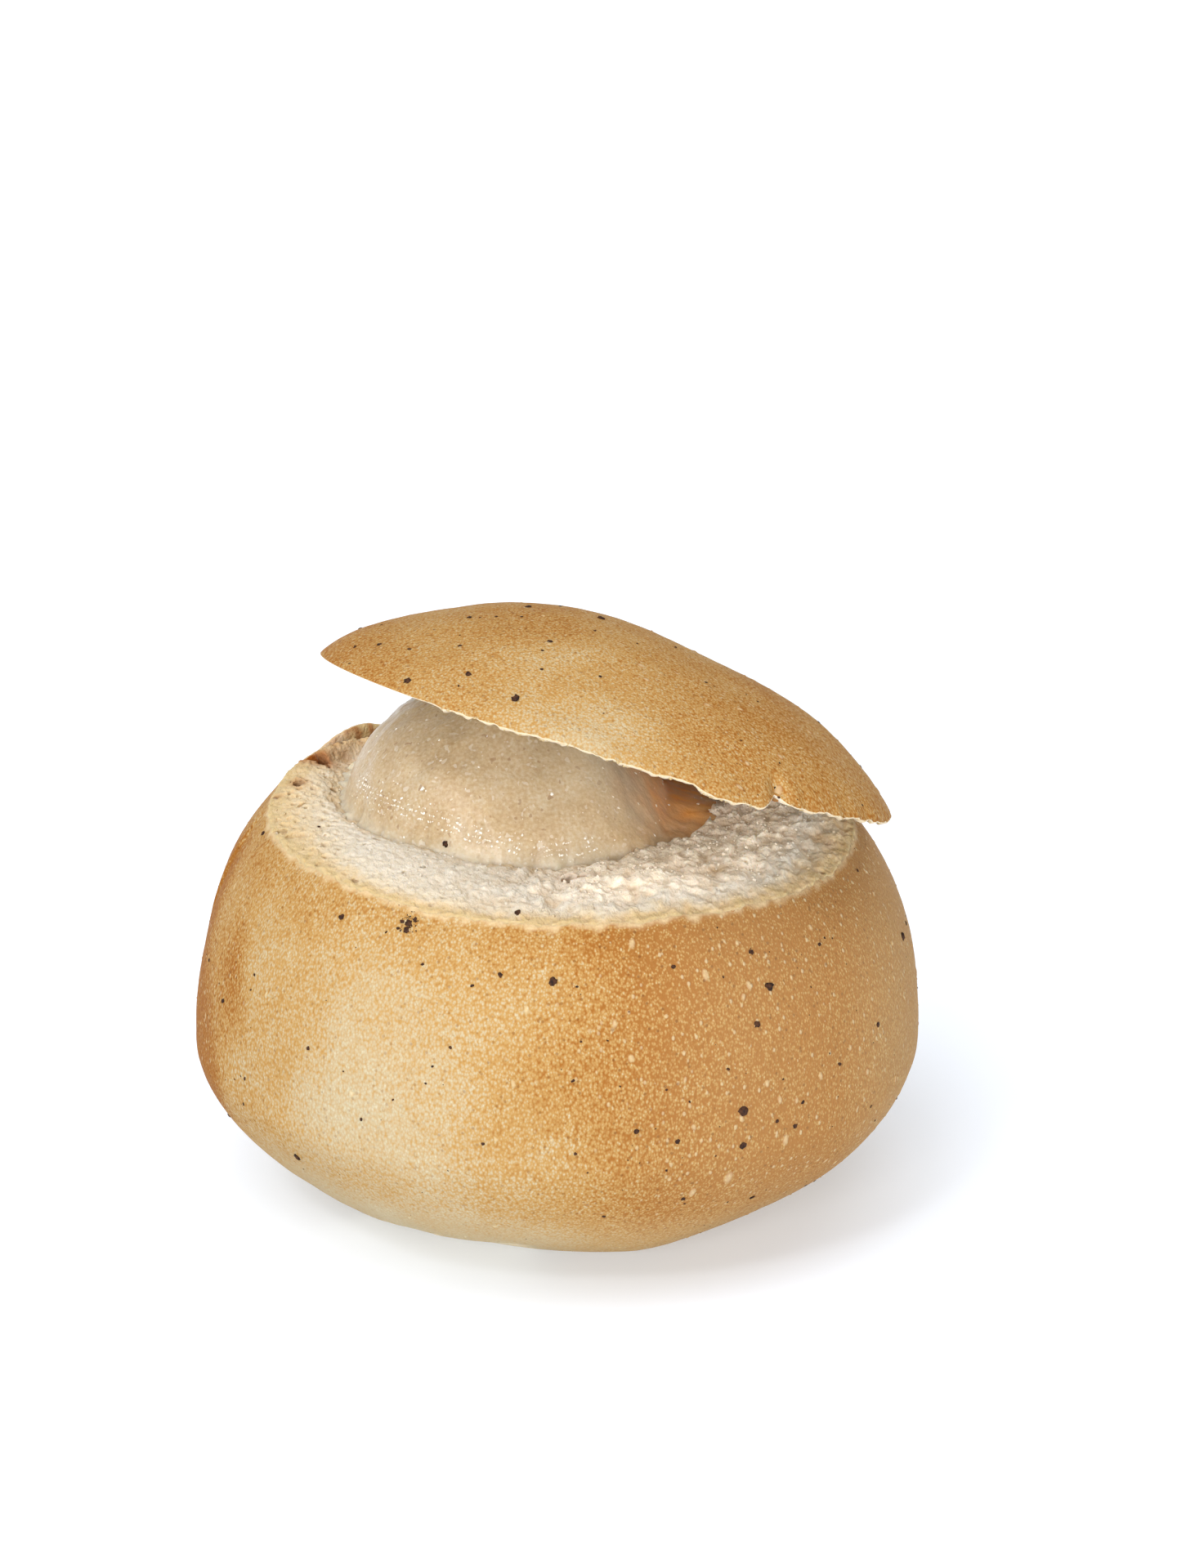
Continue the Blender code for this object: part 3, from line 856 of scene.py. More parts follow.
def paste_material(colours):
    """Almond paste, ground and stirred with milk: moist and translucent with fine nut grit.
    The eye sees beige with small wet glints, brown specks of skin and cream bits of nut."""
    made, tree, shader = new_material(
        "moist almond paste", Roughness=0.32, Subsurface_Weight=0.65, Subsurface_Scale=1.0,
        Subsurface_Radius=(0.0050, 0.0036, 0.0022), Specular_IOR_Level=0.35,
    )
    place = add_node(tree, "ShaderNodeTexCoord", out="Object")
    soaked, thin = (
        add_node(tree, "ShaderNodeAttribute", out="Fac", attribute_name=title)
        for title in ("soaked", "thin")
    )
    patches, mottle, ground, bits, grit = (
        add_node(tree, "ShaderNodeTexNoise", {"Vector": place, "Scale": 1 / size, "Detail": detail})
        for size, detail in (
            (PASTE_PATCHES, 5.0), (PASTE_MOTTLE, 3.0), (NUT_GRIT, 2.0), (NUT_GAP, 1.0),
            (PASTE_GRAIN, 2.0),
        )
    )
    tone = add_node(tree, MATH, {0: ground, 1: 0.7, 2: -0.25}, operation="MULTIPLY_ADD")
    tone = add_node(tree, MATH, {0: patches, 1: 0.5, 2: tone}, operation="MULTIPLY_ADD")
    tone = add_node(tree, MATH, {0: mottle, 1: 0.3, 2: tone}, operation="MULTIPLY_ADD")
    colour = add_node(
        tree, "ShaderNodeValToRGB", {"Fac": tone},
        stops=[(0.25, colours.paste_dark), (0.5, colours.paste), (0.75, colours.paste_light)],
    )
    skin, nut = (
        add_node(tree, "ShaderNodeMapRange", {"Value": bits, 1: low, 2: high, 3: 0.0, 4: 0.5})
        for low, high in ((0.70, 0.73), (0.34, 0.31))
    )
    for share, shade in (
        # thin: a thin smear of paste over the crumb, and painted light on the paste's shaded flank
        (skin, colours.paste_skin), (nut, colours.paste_nut), (thin, colours.crumb_cream),
        # soaked paste: syrup brown, with painted shade and warm bounce light under the lid
        (soaked, colours.paste_soaked),
    ):
        colour = add_node(tree, MIX, {0: share, 6: colour, 7: (*shade, 1)}, 2, data_type="RGBA")
    tree.links.new(colour, shader.inputs["Base Color"])
    relief = add_node(
        tree, "ShaderNodeBump", {"Height": grit, "Distance": PASTE_DEPTH, "Strength": 1.0}
    )
    tree.links.new(relief, shader.inputs["Normal"])
    return made


def glint_bit_material(colours):
    """Painted glints on the paste, drawn as coarse bits of blanched almond wet with milk: white and
    cream.
    """
    made, tree, shader = new_material("painted glint bits", Roughness=0.15)
    place = add_node(tree, "ShaderNodeTexCoord", out="Object")
    milky = add_node(
        tree, "ShaderNodeTexNoise", {"Vector": place, "Scale": 1 / GLINT_BIT_CLOUDS, "Detail": 1.0}
    )
    colour = add_node(
        tree, "ShaderNodeValToRGB", {"Fac": milky},
        stops=[(0.35, colours.glint_cream), (0.55, colours.glint_white)],
    )
    tree.links.new(colour, shader.inputs["Base Color"])
    return made


def cardamom_material(colours):
    """Coarsely ground cardamom seed: brittle dark hull, matt with a dry edge. The eye sees
    near-black grit with a brown cast."""
    made, tree, shader = new_material(
        "ground cardamom seed", Roughness=0.7, Specular_IOR_Level=0.2
    )
    place = add_node(tree, "ShaderNodeTexCoord", out="Object")
    hull = add_node(
        tree, "ShaderNodeTexNoise", {"Vector": place, "Scale": 1 / HULL_GRAIN, "Detail": 2.0}
    )
    colour = add_node(
        tree, "ShaderNodeValToRGB", {"Fac": hull},
        stops=[(0.35, colours.cardamom_dark), (0.7, colours.cardamom)],
    )
    tree.links.new(colour, shader.inputs["Base Color"])
    relief = add_node(
        tree, "ShaderNodeBump", {"Height": hull, "Distance": HULL_DEPTH, "Strength": 1.0}
    )
    tree.links.new(relief, shader.inputs["Normal"])
    return made


# ---------------------------------------------------------------- the bun


def browning(points, middle_tone, patches, places):
    """How brown crust is: its middle tone, its patches and what each place adds."""
    browned = middle_tone + layered(points, patches)
    for amount, axis, low, high in places.values():
        browned += amount * smooth_step(low, high, points[:, axis])
    return browned


def bake_of(points):
    """How brown the bun's crust is, 0 raw to 1 dark, from where the oven's heat reached it. Its pale
    patch on the front left is partly paler crust and partly painted light, where the lamp falls
    brightest.
    """
    x, y, z = points.T
    browned = browning(points, *BUN_BROWN)
    amount, low, high = LEFT_BROWN_BACK
    begins = LEFT_BROWN_FROM[0] + amount * smooth_step(low, high, y)
    wavy = x + layered(points, BROWN_BORDER)
    browned += LEFT_BROWN * smooth_step(begins, LEFT_BROWN_FROM[1], wavy)
    amount, across, down = LOW_RIGHT_PALE
    browned -= amount * smooth_step(*across, x) * smooth_step(*down, z)
    # partly painted light where the lamp falls brightest
    amount, middle, widths = FRONT_PALE_AND_LIT
    pale = bell(x, middle[0], widths[0]) * bell(z, middle[1], widths[1])
    browned -= amount * pale * smooth_step(*FRONT_ONLY, y)
    return np.clip(browned - RAW_PALE * raw_strip(points), 0, 1)


def dull_of(points):
    """How greyish the browned crust is painted at the right and low down: a painted sheen that
    stands in for the white room's reflection at grazing angles.
    """
    right = sum(smooth_step(low, high, points[:, 0]) for low, high in SHEEN_RIGHT)
    return np.maximum(right, SHEEN_LOW_SHARE * smooth_step(*SHEEN_LOW, points[:, 2]))


def raw_strip(points):
    """1 in the low strip at the front left that touched its neighbour in the oven."""
    x, y, z = points.T
    edge = RAW_STRIP_HEIGHT + layered(points, RAW_BORDER)
    low = smooth_step(edge + RAW_STRIP_SOFT, edge - RAW_STRIP_SOFT, z)
    return low * fade(RAW_STRIP_ROUND, np.degrees(np.arctan2(y, x)))


def baked_skin(side, up, angle, bun):
    """The bun's side with its flat base, as rings of points from the middle of the base to
    the rim, with the swells and dents of baked skin and the frayed rim."""
    flat = np.linspace(*BASE_RINGS)[:, None] * BASE_RADIUS * outline(angle)
    skin = np.concatenate([flat[..., None] * unit_ring(angle), side])
    listed = skin.reshape(-1, 3)
    relief = layered(listed, SKIN_RELIEF).reshape(skin.shape[:2])
    relief[: len(flat)] = 0
    relief -= RAW_STRIP_STEP * raw_strip(listed).reshape(relief.shape)
    heading = np.degrees(np.arctan2(skin[..., 1], skin[..., 0]))
    for middle, width, height, depth in DENTS:
        relief -= depth * bell(heading, middle, width) * bell(skin[..., 2], height, DENT_TALL)
    near_rim = smooth_step(*NEAR_RIM, np.concatenate([np.zeros(len(flat)), up]))[:, None]
    rise = smooth_step(*SMOOTH_FOOT, skin[..., 2]) * (1 - near_rim)
    skin = skin + grid_normals(skin) * (relief * rise)[..., None]
    from_middle = np.hypot(skin[..., 0], skin[..., 1]) / BASE_RADIUS
    lifted = bell(np.degrees(angle), *BASE_LIFTED) * smooth_step(0.8, 1.4, from_middle)
    skin[..., 2] += BASE_LIFT * lifted * smooth_step(*BASE_LIFT_ENDS, skin[..., 2])
    torn_flap = FLAP_HEIGHT * bump(skin[-1, :, 0], skin[-1, :, 1], FLAP_PLACE, FLAP_RADIUS)
    skin[..., 2] += near_rim * (rim_fray(angle, bun) + torn_flap - CRUST_DROP)
    return skin


def build_bun_crust(bun, colours):
    """The baked outside, with a thin lip at the cut, closed below the crumb and round the
    hollow."""
    angle = circle(BUN_SEGMENTS)
    radius, low, up = side_profile(bun)
    side = side_points(radius[:, None], low[:, None], up[:, None], angle[None, :], bun)
    skin = baked_skin(side, up, angle, bun)
    rim = skin[-1]
    inward = -rim * np.array([1, 1, 0])
    inward /= np.linalg.norm(inward, axis=1)[:, None]
    lip = [rim + inward * step - np.array([0, 0, drop]) for step, drop in LIP_STEPS]
    hollow = [hollow_ring(r, d, angle, bun) for r, d in zip(*hollow_profile())]
    shelf = hollow_ring(HOLLOW_RADIUS, 0, angle, bun) - np.array([0, 0, SHELF_DEPTH])
    keep = [ring for ring in hollow if ring[:, 2].max() < shelf[:, 2].min()]
    rings = np.concatenate([skin, np.stack(lip + [shelf] + keep)])
    floor = [*HOLLOW_PLACE, bun.rim_height - HOLLOW_DEPTH]
    points = np.concatenate([rings.reshape(-1, 3), [[0, 0, 0], floor]])
    faces = ring_faces(len(rings), BUN_SEGMENTS)
    outside = len(skin) * BUN_SEGMENTS
    below_rim = (1 - up)[:, None] * (bun.rim_height - bun.belly_height)
    wavy = below_rim + layered(side.reshape(-1, 3), CUT_BORDER).reshape(side.shape[:2])
    cut = np.zeros(len(points))
    cut[outside - wavy.size : outside] = smooth_step(*CUT_EDGE, wavy).ravel()
    cut[outside:] = 1
    kinds = np.zeros(len(faces), np.int32)
    kinds[outside : (len(rings) - 1) * BUN_SEGMENTS] = 1
    kinds[-BUN_SEGMENTS:] = 1
    flap = bump(points[:, 0], points[:, 1], FLAP_PLACE, FLAP_RADIUS)
    made = mesh_object(
        "bun_crust",
        points,
        faces,
        [crust_material(colours), crumb_material(colours)],
        kinds,
        bake=bake_of(points),
        cut=cut,
        # painted sheen, greyish at the right and low down
        dull=dull_of(points),
        golden=np.maximum(0.6, 1.2 * flap),
        stain=stain_of(points),
    )
    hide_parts("bun")


def crumb_level(x, y, bun):
    """The height of the crumb between rim and hollow, without its lumps."""
    inside, from_hollow = rim_distance(x, y, bun), outside_hollow(x, y)
    across = np.clip(inside / np.maximum(inside + from_hollow, 0.001), 0, 1)
    heap = CRUMB_RISE + HEAP_HEIGHT * smooth_step(*HEAP_ACROSS, x) * smooth_step(*HEAP_BACK, y)
    trough = bump(x, y, TROUGH_PLACE, TROUGH_RADIUS) * smooth_step(*TROUGH_INSIDE, inside)
    level = cut_height(x, y, bun) + heap * 4 * across * (1 - across) - TROUGH_DEPTH * trough
    by_paste = smooth_step(*PASTE_STEP_WIDTH, from_hollow) * smooth_step(*PASTE_STEP_ACROSS, x)
    return level - PASTE_STEP_DOWN * by_paste


def crumb_top(x, y, bun, crumb, lid):
    """The height of the torn crumb with its lumps, kept below the lid."""
    flat = flat_points(x, y) * PULL
    inside = rim_distance(x, y, bun)
    share, size, seed = TORN_LUMPS
    torn = layered(flat, TORN_WAVES) + share * lumps(flat, size, seed) - TORN_SUNK
    rough = 0.12 + 0.88 * torn_share(x)
    calm = 0.25 + 0.75 * smooth_step(*CALM_RIM, inside)
    edge = rim_fray(np.arctan2(y, x), bun) * smooth_step(*FRAY_WIDTH, inside)
    torn = torn.reshape(x.shape) * rough * calm * crumb.tear_height
    top = crumb_level(x, y, bun) + edge + torn
    return np.minimum(top, lid_plane(x, y, lid) + LID_DISH * 0.5 - GAP)


def bent_crumb(points):
    """The points pushed about, so that lumps placed by them come out uneven."""
    far, size, seeds = CRUMB_BEND
    return points * PULL + far * np.stack([noise(points, size, seed) for seed in seeds], 1)


def crumb_solid(bun, crumb, lid):
    """The points and faces of the torn crumb, from a grid of distances to its surface, less
    than 0 inside it."""
    step = CRUMB_VOXEL
    wider, below, above = CRUMB_BOX
    half = bun.rim_radius * wider
    low = bun.rim_height - SHELF_DEPTH - below
    wide = np.arange(-half, half, step, dtype=np.float32)
    tall = np.arange(low, bun.rim_height + above, step, dtype=np.float32)
    x, y = np.meshgrid(wide, wide, indexing="ij")
    flat = flat_points(x, y)
    top = crumb_top(x, y, bun, crumb, lid).astype(np.float32)
    inside = rim_distance(x, y, bun).astype(np.float32)
    ragged = HOLLOW_OVERLAP + layered(flat, HOLLOW_BORDER).reshape(x.shape)
    from_hollow = (outside_hollow(x, y) + ragged).astype(np.float32)
    field = tall - top[:, :, None]
    near = np.abs(field) < LUMP_REACH
    near &= ((inside > -0.001) & (from_hollow > -0.001))[:, :, None]
    i, j, k = np.nonzero(near)
    points = np.stack([wide[i], wide[j], tall[k]], axis=1)
    bent = bent_crumb(points)
    tufts = sum(height * (lumps(bent, size, seed) - 0.4) for height, size, seed in TUFTS)
    rough = 0.08 + 0.84 * torn_share(points[:, 0])
    field[i, j, k] -= (tufts * rough + layered(points * PULL, FLUFF)).astype(np.float32)
    by_rim, by_hollow = PORE_INSIDE
    carve_pores(field, wide, tall, top, (inside > by_rim) & (from_hollow > by_hollow))
    wall = layered(flat, CRUMB_WALL).reshape(x.shape) - CRUMB_PROUD - inside
    for side in (wall[:, :, None], -from_hollow[:, :, None], low + 2.5 * step - tall):
        field = np.maximum(field, side)
    grid = openvdb.FloatGrid(1.0)
    grid.copyFromArray(np.ascontiguousarray(field, np.float32), ijk=(0, 0, 0))
    grid.transform = openvdb.createLinearTransform(voxelSize=step)
    points, triangles, quads = grid.convertToPolygons(isovalue=0.0, adaptivity=CRUMB_MERGE)
    faces = quads[:, ::-1].tolist() + triangles[:, ::-1].tolist()
    return points + np.array([-half, -half, low]), faces


def build_crumb(bun, crumb, lid):
    """The torn crumb round the filling, as a solid full of lumps and pores."""
    points, faces = crumb_solid(bun, crumb, lid)
    x, y, z = points.T
    creases = smooth_step(0.5, 1.0, 1 - lumps(bent_crumb(points), *TUFTS[0][1:]))
    pits = smooth_step(0.1, 0.8, noise(points, 0.0030, 37))
    # painted shade: tan below the crumb's smooth level and in the creases between lumps, with random
    # tan pits at the right
    deep = 0.50 * smooth_step(*SHADE_DEEP_FROM, crumb_level(x, y, bun) - z)
    deep += (0.28 * creases + 0.30 * pits) * torn_share(x)
    from_paste = outside_hollow(x, y) + layered(points, MOIST_BORDER)
    made = mesh_object(
        "bun_crumb",
        points,
        faces,
        [bpy.data.materials["torn wheat crumb"]],
        golden=golden_of(points, bun),
        depth=np.minimum(deep, 0.9),
        moist=0.85 * smooth_step(*MOIST_WIDTH, from_paste) * smooth_step(*MILKY_SIDE, x),
        stain=stain_of(points),
    )
    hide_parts("bun")


def golden_of(points, bun):
    """How golden the crumb is: 1 beside the crust, further in at the left and right. Away from the
    crust it is painted more golden at the left, where the lamp falls, and whiter at the right, where
    the lid shades it: painted light. 0 where the torn crumb at the right is whitest."""
    x, y, _ = points.T
    left, right = smooth_step(*GOLDEN_LEFT, x), smooth_step(*GOLDEN_RIGHT, x)
    width = GOLDEN_WIDTH[0] + GOLDEN_WIDTH[1] * left + GOLDEN_WIDTH[2] * right
    inside = rim_distance(x, y, bun) + layered(points, GOLDEN_BORDER)
    # painted light: more golden where the lamp falls, whiter in the lid's shade
    plain = PLAIN_GOLDEN * smooth_step(*PAINTED_LIGHT_ACROSS, x)
    golden = plain + (1 - plain) * np.exp(-np.maximum(inside - GOLDEN_EDGE, 0) / width)
    return np.maximum(golden, bump(x, y, FLAP_PLACE, GOLDEN_FLAP))


def stain_of(points):
    """How brown the crumb is where crust and syrup show through, mostly at the back left, and darker
    in the trough; round the torn holes and pits the brown is painted shade.
    """
    x, y, _ = points.T
    flap_patches = smooth_step(-0.2, 0.6, noise(points, 0.0016, 33))
    right_patches = smooth_step(-0.1, 0.7, noise(points, 0.0009, 38))
    stain = 0.75 * bump(x, y, FLAP_PLACE, STAINED_FLAP) * flap_patches
    stain += 0.30 * bump(x, y, TROUGH_PLACE, TROUGH_RADIUS)
    stain += 0.6 * bump(x, y, SYRUP_PLACE, SYRUP_RADIUS) * (0.9 + 0.6 * noise(points, 0.0015, 36))
    stain += 0.3 * smooth_step(*STAINED_RIGHT, x) * right_patches
    # painted shade down in the torn holes and pits
    for place, radius, brown in TORN_HOLES.values():
        stain = np.maximum(stain, 1.2 * brown * bump(x, y, place, radius * 1.5))
    return np.clip(stain, 0, 1)


def carve_pores(field, wide, tall, top, allowed):
    """Cuts round pores into the crumb: many fine ones at the left, and the torn holes."""
    rng = np.random.default_rng(41)
    allowed = np.argwhere(allowed)
    for _ in range(PORE_TRIES):
        i, j = allowed[rng.integers(len(allowed))]
        left = smooth_step(*PORES_LEFT, wide[i])
        if rng.random() > PORE_CHANCE[0] + PORE_CHANCE[1] * left:
            continue
        radius = rng.uniform(*PORE_SIZES[0])
        if rng.random() < LARGE_PORES:
            radius = rng.uniform(*PORE_SIZES[1])
        depth = rng.uniform(-0.2, 0.8) * radius
        carve(field, wide, tall, (wide[i], wide[j], top[i, j] - depth), radius)
    for place, radius, _ in TORN_HOLES.values():
        i, j = (int(round((value - wide[0]) / CRUMB_VOXEL)) for value in place)
        for sink in (0.3, 1.0, 1.6):
            carve(field, wide, tall, (*place, top[i, j] - sink * radius), radius)


def carve(field, wide, tall, centre, radius):
    """Takes a ball out of the crumb."""
    reach = int(radius / CRUMB_VOXEL) + 2
    spans = []
    for line, value in zip((wide, wide, tall), centre):
        middle = int(round((value - line[0]) / CRUMB_VOXEL))
        spans.append(slice(max(0, middle - reach), min(len(line), middle + reach + 1)))
    dx = wide[spans[0]][:, None, None] - centre[0]
    dy = wide[spans[1]][None, :, None] - centre[1]
    dz = tall[spans[2]][None, None, :] - centre[2]
    ball = radius - np.sqrt(dx**2 + dy**2 + dz**2)
    window = field[spans[0], spans[1], spans[2]]
    np.maximum(window, ball, out=window)


# ---------------------------------------------------------------- the filling


def paste_mound(bun, filling, lid, angle):
    """The paste's open surface as rings of points from its edge to its crest, and how far
    each point would stand over the cut without the lid."""
    edge = HOLLOW_RADIUS + PASTE_OVERLAP
    radii = np.linspace(edge, 0.0004, round(edge / PASTE_STEP))[:, None]
    x = HOLLOW_PLACE[0] + radii * np.cos(angle)
    y = HOLLOW_PLACE[1] + radii * np.sin(angle)
    risen = mound_height(x, y, filling)
    outside = outside_hollow(x, y) + layered(flat_points(x, y), PASTE_EDGE).reshape(x.shape)
    sunk = PASTE_SUNK[0] * smooth_step(-0.0010, PASTE_OVERLAP, outside) + PASTE_SUNK[1]
    z = cut_height(x, y, bun) + risen - sunk
    flat = np.stack([x, y, z], -1).reshape(-1, 3)
    z += (layered(flat, PASTE_STIRRED) + layered(flat, PASTE_GRIT)).reshape(x.shape)
    pressed = lid_plane(x, y, lid) + LID_DISH * 0.6 - GAP
    gap = (pressed - z) / PRESSED_SOFT
    gap = np.where(gap > 4, gap, np.log1p(np.exp(np.minimum(gap, 4))))
    return np.stack([x, y, pressed - gap * PRESSED_SOFT], -1), risen


def build_paste(bun, filling, lid, colours):
    """The almond paste, seated in the hollow and heaped over it."""
    angle = circle(PASTE_SEGMENTS)
    mound, risen = paste_mound(bun, filling, lid, angle)
    walls = [hollow_ring(r - GAP, d - GAP, angle, bun) for r, d in zip(*hollow_profile())]
    rings = np.concatenate([np.stack(walls[::-1]), mound])
    floor = [*HOLLOW_PLACE, bun.rim_height - HOLLOW_DEPTH + GAP]
    points = np.concatenate([rings.reshape(-1, 3), [floor, mound[-1].mean(axis=0)]])
    x, y, _ = points.T
    in_hollow = np.zeros(len(walls) * PASTE_SEGMENTS)
    risen = np.concatenate([in_hollow, risen.ravel(), [0, filling.mound_height]])
    thin = 0.6 * smooth_step(*THIN_HEIGHT, risen) * smooth_step(*MILKY_SIDE, x)
    # painted shade: besides the syrup, the paste is painted a saturated brown towards the back,
    # under the lid
    uneven = layered(points, SOAK_SHADE_BORDER)
    soaked = 0.15 + 0.85 * smooth_step(*SOAK_SHADE_BACK, y + uneven)
    soaked *= smooth_step(*SOAK_SHADE_ACROSS, x + uneven) * (0.9 + 0.35 * noise(points, 0.0022, 58))
    made = mesh_object(
        "almond_paste",
        points,
        ring_faces(len(rings), PASTE_SEGMENTS),
        [paste_material(colours)],
        soaked=np.clip(soaked, 0, 1),
        # painted light on the paste's shaded flank
        thin=np.maximum(thin, 0.7 * bump(x, y, PAINTED_LIGHT_PLACE, PAINTED_LIGHT_RADIUS)),
    )
    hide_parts("filling")


# ---------------------------------------------------------------- the lid


def lid_bake(points):
    """How brown the lid's crust is, 0 raw to 1 dark. It is paler near its front edge, partly less
    baked there and partly painted light.
    """
    amount, place, radius = LID_PALE_AND_LIT
    pale = amount * bump(points[:, 0], points[:, 1], place, radius)
    return np.clip(browning(points, *LID_BROWN) - pale, 0, 1)


def lid_edge_shape(lid, angle):
    """What the lid's edge does at each angle: how torn it is, 0 to 1, how far it juts out,
    how far it is bent up, and how far its teeth stand up beyond that."""
    degrees = np.degrees(angle)
    ring = unit_ring(angle) * lid.radius
    torn = 1 - fade(LID_WHOLE, degrees)
    tongue, nick = fade(LID_HANGS, degrees), bell(degrees, *LID_NOTCH)
    middle, width, lift = LID_LIFTED
    juts = (layered(ring, LID_OUTLINE) + LID_TONGUE[0] * tongue - LID_NICK[0] * nick) * torn
    bent = (lift * bell(degrees, middle, width) - LID_TONGUE[1] * tongue) * torn
    teeth = (layered(ring, LID_TEETH) + LID_NICK[1] * nick) * torn
    return torn, juts, bent, teeth


def lid_crown(lid, angle, juts, bent, teeth):
    """The lid's dome as rings of points from beside its middle to its edge."""
    share = np.linspace(0, 1, 400)
    at = even_steps(lid.radius * share, lid_dome(share, lid), LID_STEP)
    share = np.interp(at, np.arange(len(share)), share)[1:, None]
    ragged = smooth_step(LID_RAGGED_FROM, 1.0, share)
    radius = share * lid.radius * outline(angle) + ragged * juts
    x, y = radius * np.cos(angle), radius * np.sin(angle)
    crown = np.stack([x, y, lid_top(x, share, lid)], -1)
    relief = layered(crown.reshape(-1, 3) + LID_PATTERN_OFFSET, SKIN_RELIEF).reshape(x.shape)
    relief = relief * smooth_step(1.0, LID_CALM_FROM, share)
    crown += grid_normals(crown[::-1])[::-1] * relief[..., None]
    crown[..., 2] += bent * ragged + teeth * smooth_step(LID_TEETH_FROM, 1.0, share)
    return crown


def lid_lip(lid, angle, edge, torn, height):
    """The lid's torn lip as rings of points, from the crust's edge down and in."""
    ring = unit_ring(angle) * lid.radius
    frayed = LID_LIP_FRAY * noise(ring, 0.0009, 64) * torn
    ragged = 0.25 + 0.75 * torn * np.clip(0.7 + 0.9 * noise(ring, 0.0011, 68), 0.1, 1.6)
    lip = []
    for out, down in LID_LIP:
        radius = edge + (out * torn + frayed if out > 0 else out)
        x, y = radius * np.cos(angle), radius * np.sin(angle)
        lip.append(np.stack([x, y, height - down * ragged], -1))
    return np.stack(lip)


def lid_face(edge, angle):
    """The torn crumb under the lid, as rings of points from its edge to its middle."""
    inner = np.linspace(*LID_FACE_RINGS)[:, None]
    face = (inner * edge)[..., None] * unit_ring(angle)
    face[..., 2] = LID_DISH * (1 - inner**2)
    flat = face.reshape(-1, 3)
    height, size, seed = LID_FACE_LUMPS
    fluff = height * lumps(flat, size, seed) + layered(flat, [LID_FACE_FLUFF])
    face[..., 2] += fluff.reshape(face.shape[:2]) - LID_FACE_SUNK
    return face


def build_lid(lid):
    """The cut-off top of the bun: a domed crust over a flat, torn crumb face."""
    angle = circle(LID_SEGMENTS)
    torn, juts, bent, teeth = lid_edge_shape(lid, angle)
    edge = lid.radius * outline(angle) + juts
    face = lid_face(edge, angle)
    lip = lid_lip(lid, angle, edge, torn, bent + teeth)
    crown = lid_crown(lid, angle, juts, bent, teeth)
    rings = np.concatenate([face[::-1], lip[::-1], crown[::-1]])
    middles = [face[-1].mean(axis=0), [0, 0, lid_top(0, 0, lid)]]
    points = np.concatenate([rings.reshape(-1, 3), middles])
    faces = ring_faces(len(rings), LID_SEGMENTS)
    kinds = np.zeros(len(faces), np.int32)
    kinds[: (len(face) + len(lip) - 1) * LID_SEGMENTS] = 1
    kinds[(len(rings) - 1) * LID_SEGMENTS : len(rings) * LID_SEGMENTS] = 1
    from_edge = np.maximum(lid.radius - np.hypot(points[:, 0], points[:, 1]), 0)
    matrix = np.array(lid_matrix(lid))
    world = points @ matrix[:3, :3].T + matrix[:3, 3]
    made = mesh_object(
        "lid_crust",
        world,
        faces,
        [bpy.data.materials["baked bun crust"], bpy.data.materials["torn wheat crumb"]],
        kinds,
        bake=lid_bake(world),
        golden=PLAIN_GOLDEN + LID_FACE_GOLDEN[0] * np.exp(-from_edge / LID_FACE_GOLDEN[1]),
    )
    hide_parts("lid")


# ---------------------------------------------------------------- what is scattered on it


def food_trees(names=FOOD_PIECES):
    """What a ray may hit: pieces of the bun, without what is scattered on them."""
    graph = bpy.context.evaluated_depsgraph_get()
    return [BVHTree.FromObject(bpy.data.objects[name], graph) for name in names]


def first_hit(trees, start, way):
    """(place, normal) where a ray first meets the food, or None."""
    hits = [tree.ray_cast(start, way) for tree in trees]
    hits = [hit for hit in hits if hit[0] is not None]
    if not hits:
        return None
    nearest = min(hits, key=lambda hit: hit[3])
    return np.array(nearest[0]), np.array(nearest[1])


def seen_at(trees, pixel):
    """(place, normal) of the food at a pixel of the photograph."""
    matrix = camera_matrix()
    across, down = pixel[0] - PHOTO_WIDTH / 2, pixel[1] - PHOTO_HEIGHT / 2
    way = matrix.to_3x3() @ Vector((across, -down, -FOCAL_PIXELS)).normalized()
    return first_hit(trees, matrix.translation, way)


def crust_spots(name, count, rng, density, kind=0):
    """Random (place, normal) on a piece's faces of one material, more where the density is
    high."""
    polygons = bpy.data.objects[name].data.polygons
    centre, normal = np.empty(len(polygons) * 3), np.empty(len(polygons) * 3)
    area, wears = np.empty(len(polygons)), np.empty(len(polygons), np.int32)
    for title, values in (
        ("center", centre), ("normal", normal), ("area", area), ("material_index", wears)
    ):
        polygons.foreach_get(title, values)
    centre, normal = centre.reshape(-1, 3), normal.reshape(-1, 3)
    weight = area * (wears == kind) * density(centre)
    picks = rng.choice(len(polygons), count, p=weight / weight.sum())
    return [(centre[i], normal[i]) for i in picks]


def mostly_small(sizes, rng, power):
    """A random size between two, nearer the smaller one the higher the power is."""
    return sizes[0] + (sizes[1] - sizes[0]) * rng.random() ** power


def off_table(centre, left, right, fewest):
    """How many things lie on faces of the crust: none by the table, more at the right."""
    return (centre[:, 2] > CLEAR_OF_TABLE) * (fewest + smooth_step(left, right, centre[:, 0]))


def pebble():
    """The points and faces of a small ball."""
    shape = bmesh.new()
    bmesh.ops.create_icosphere(shape, subdivisions=2, radius=1)
    points = np.array([v.co for v in shape.verts])
    faces = np.array([[v.index for v in f.verts] for f in shape.faces])
    shape.free()
    return points, faces


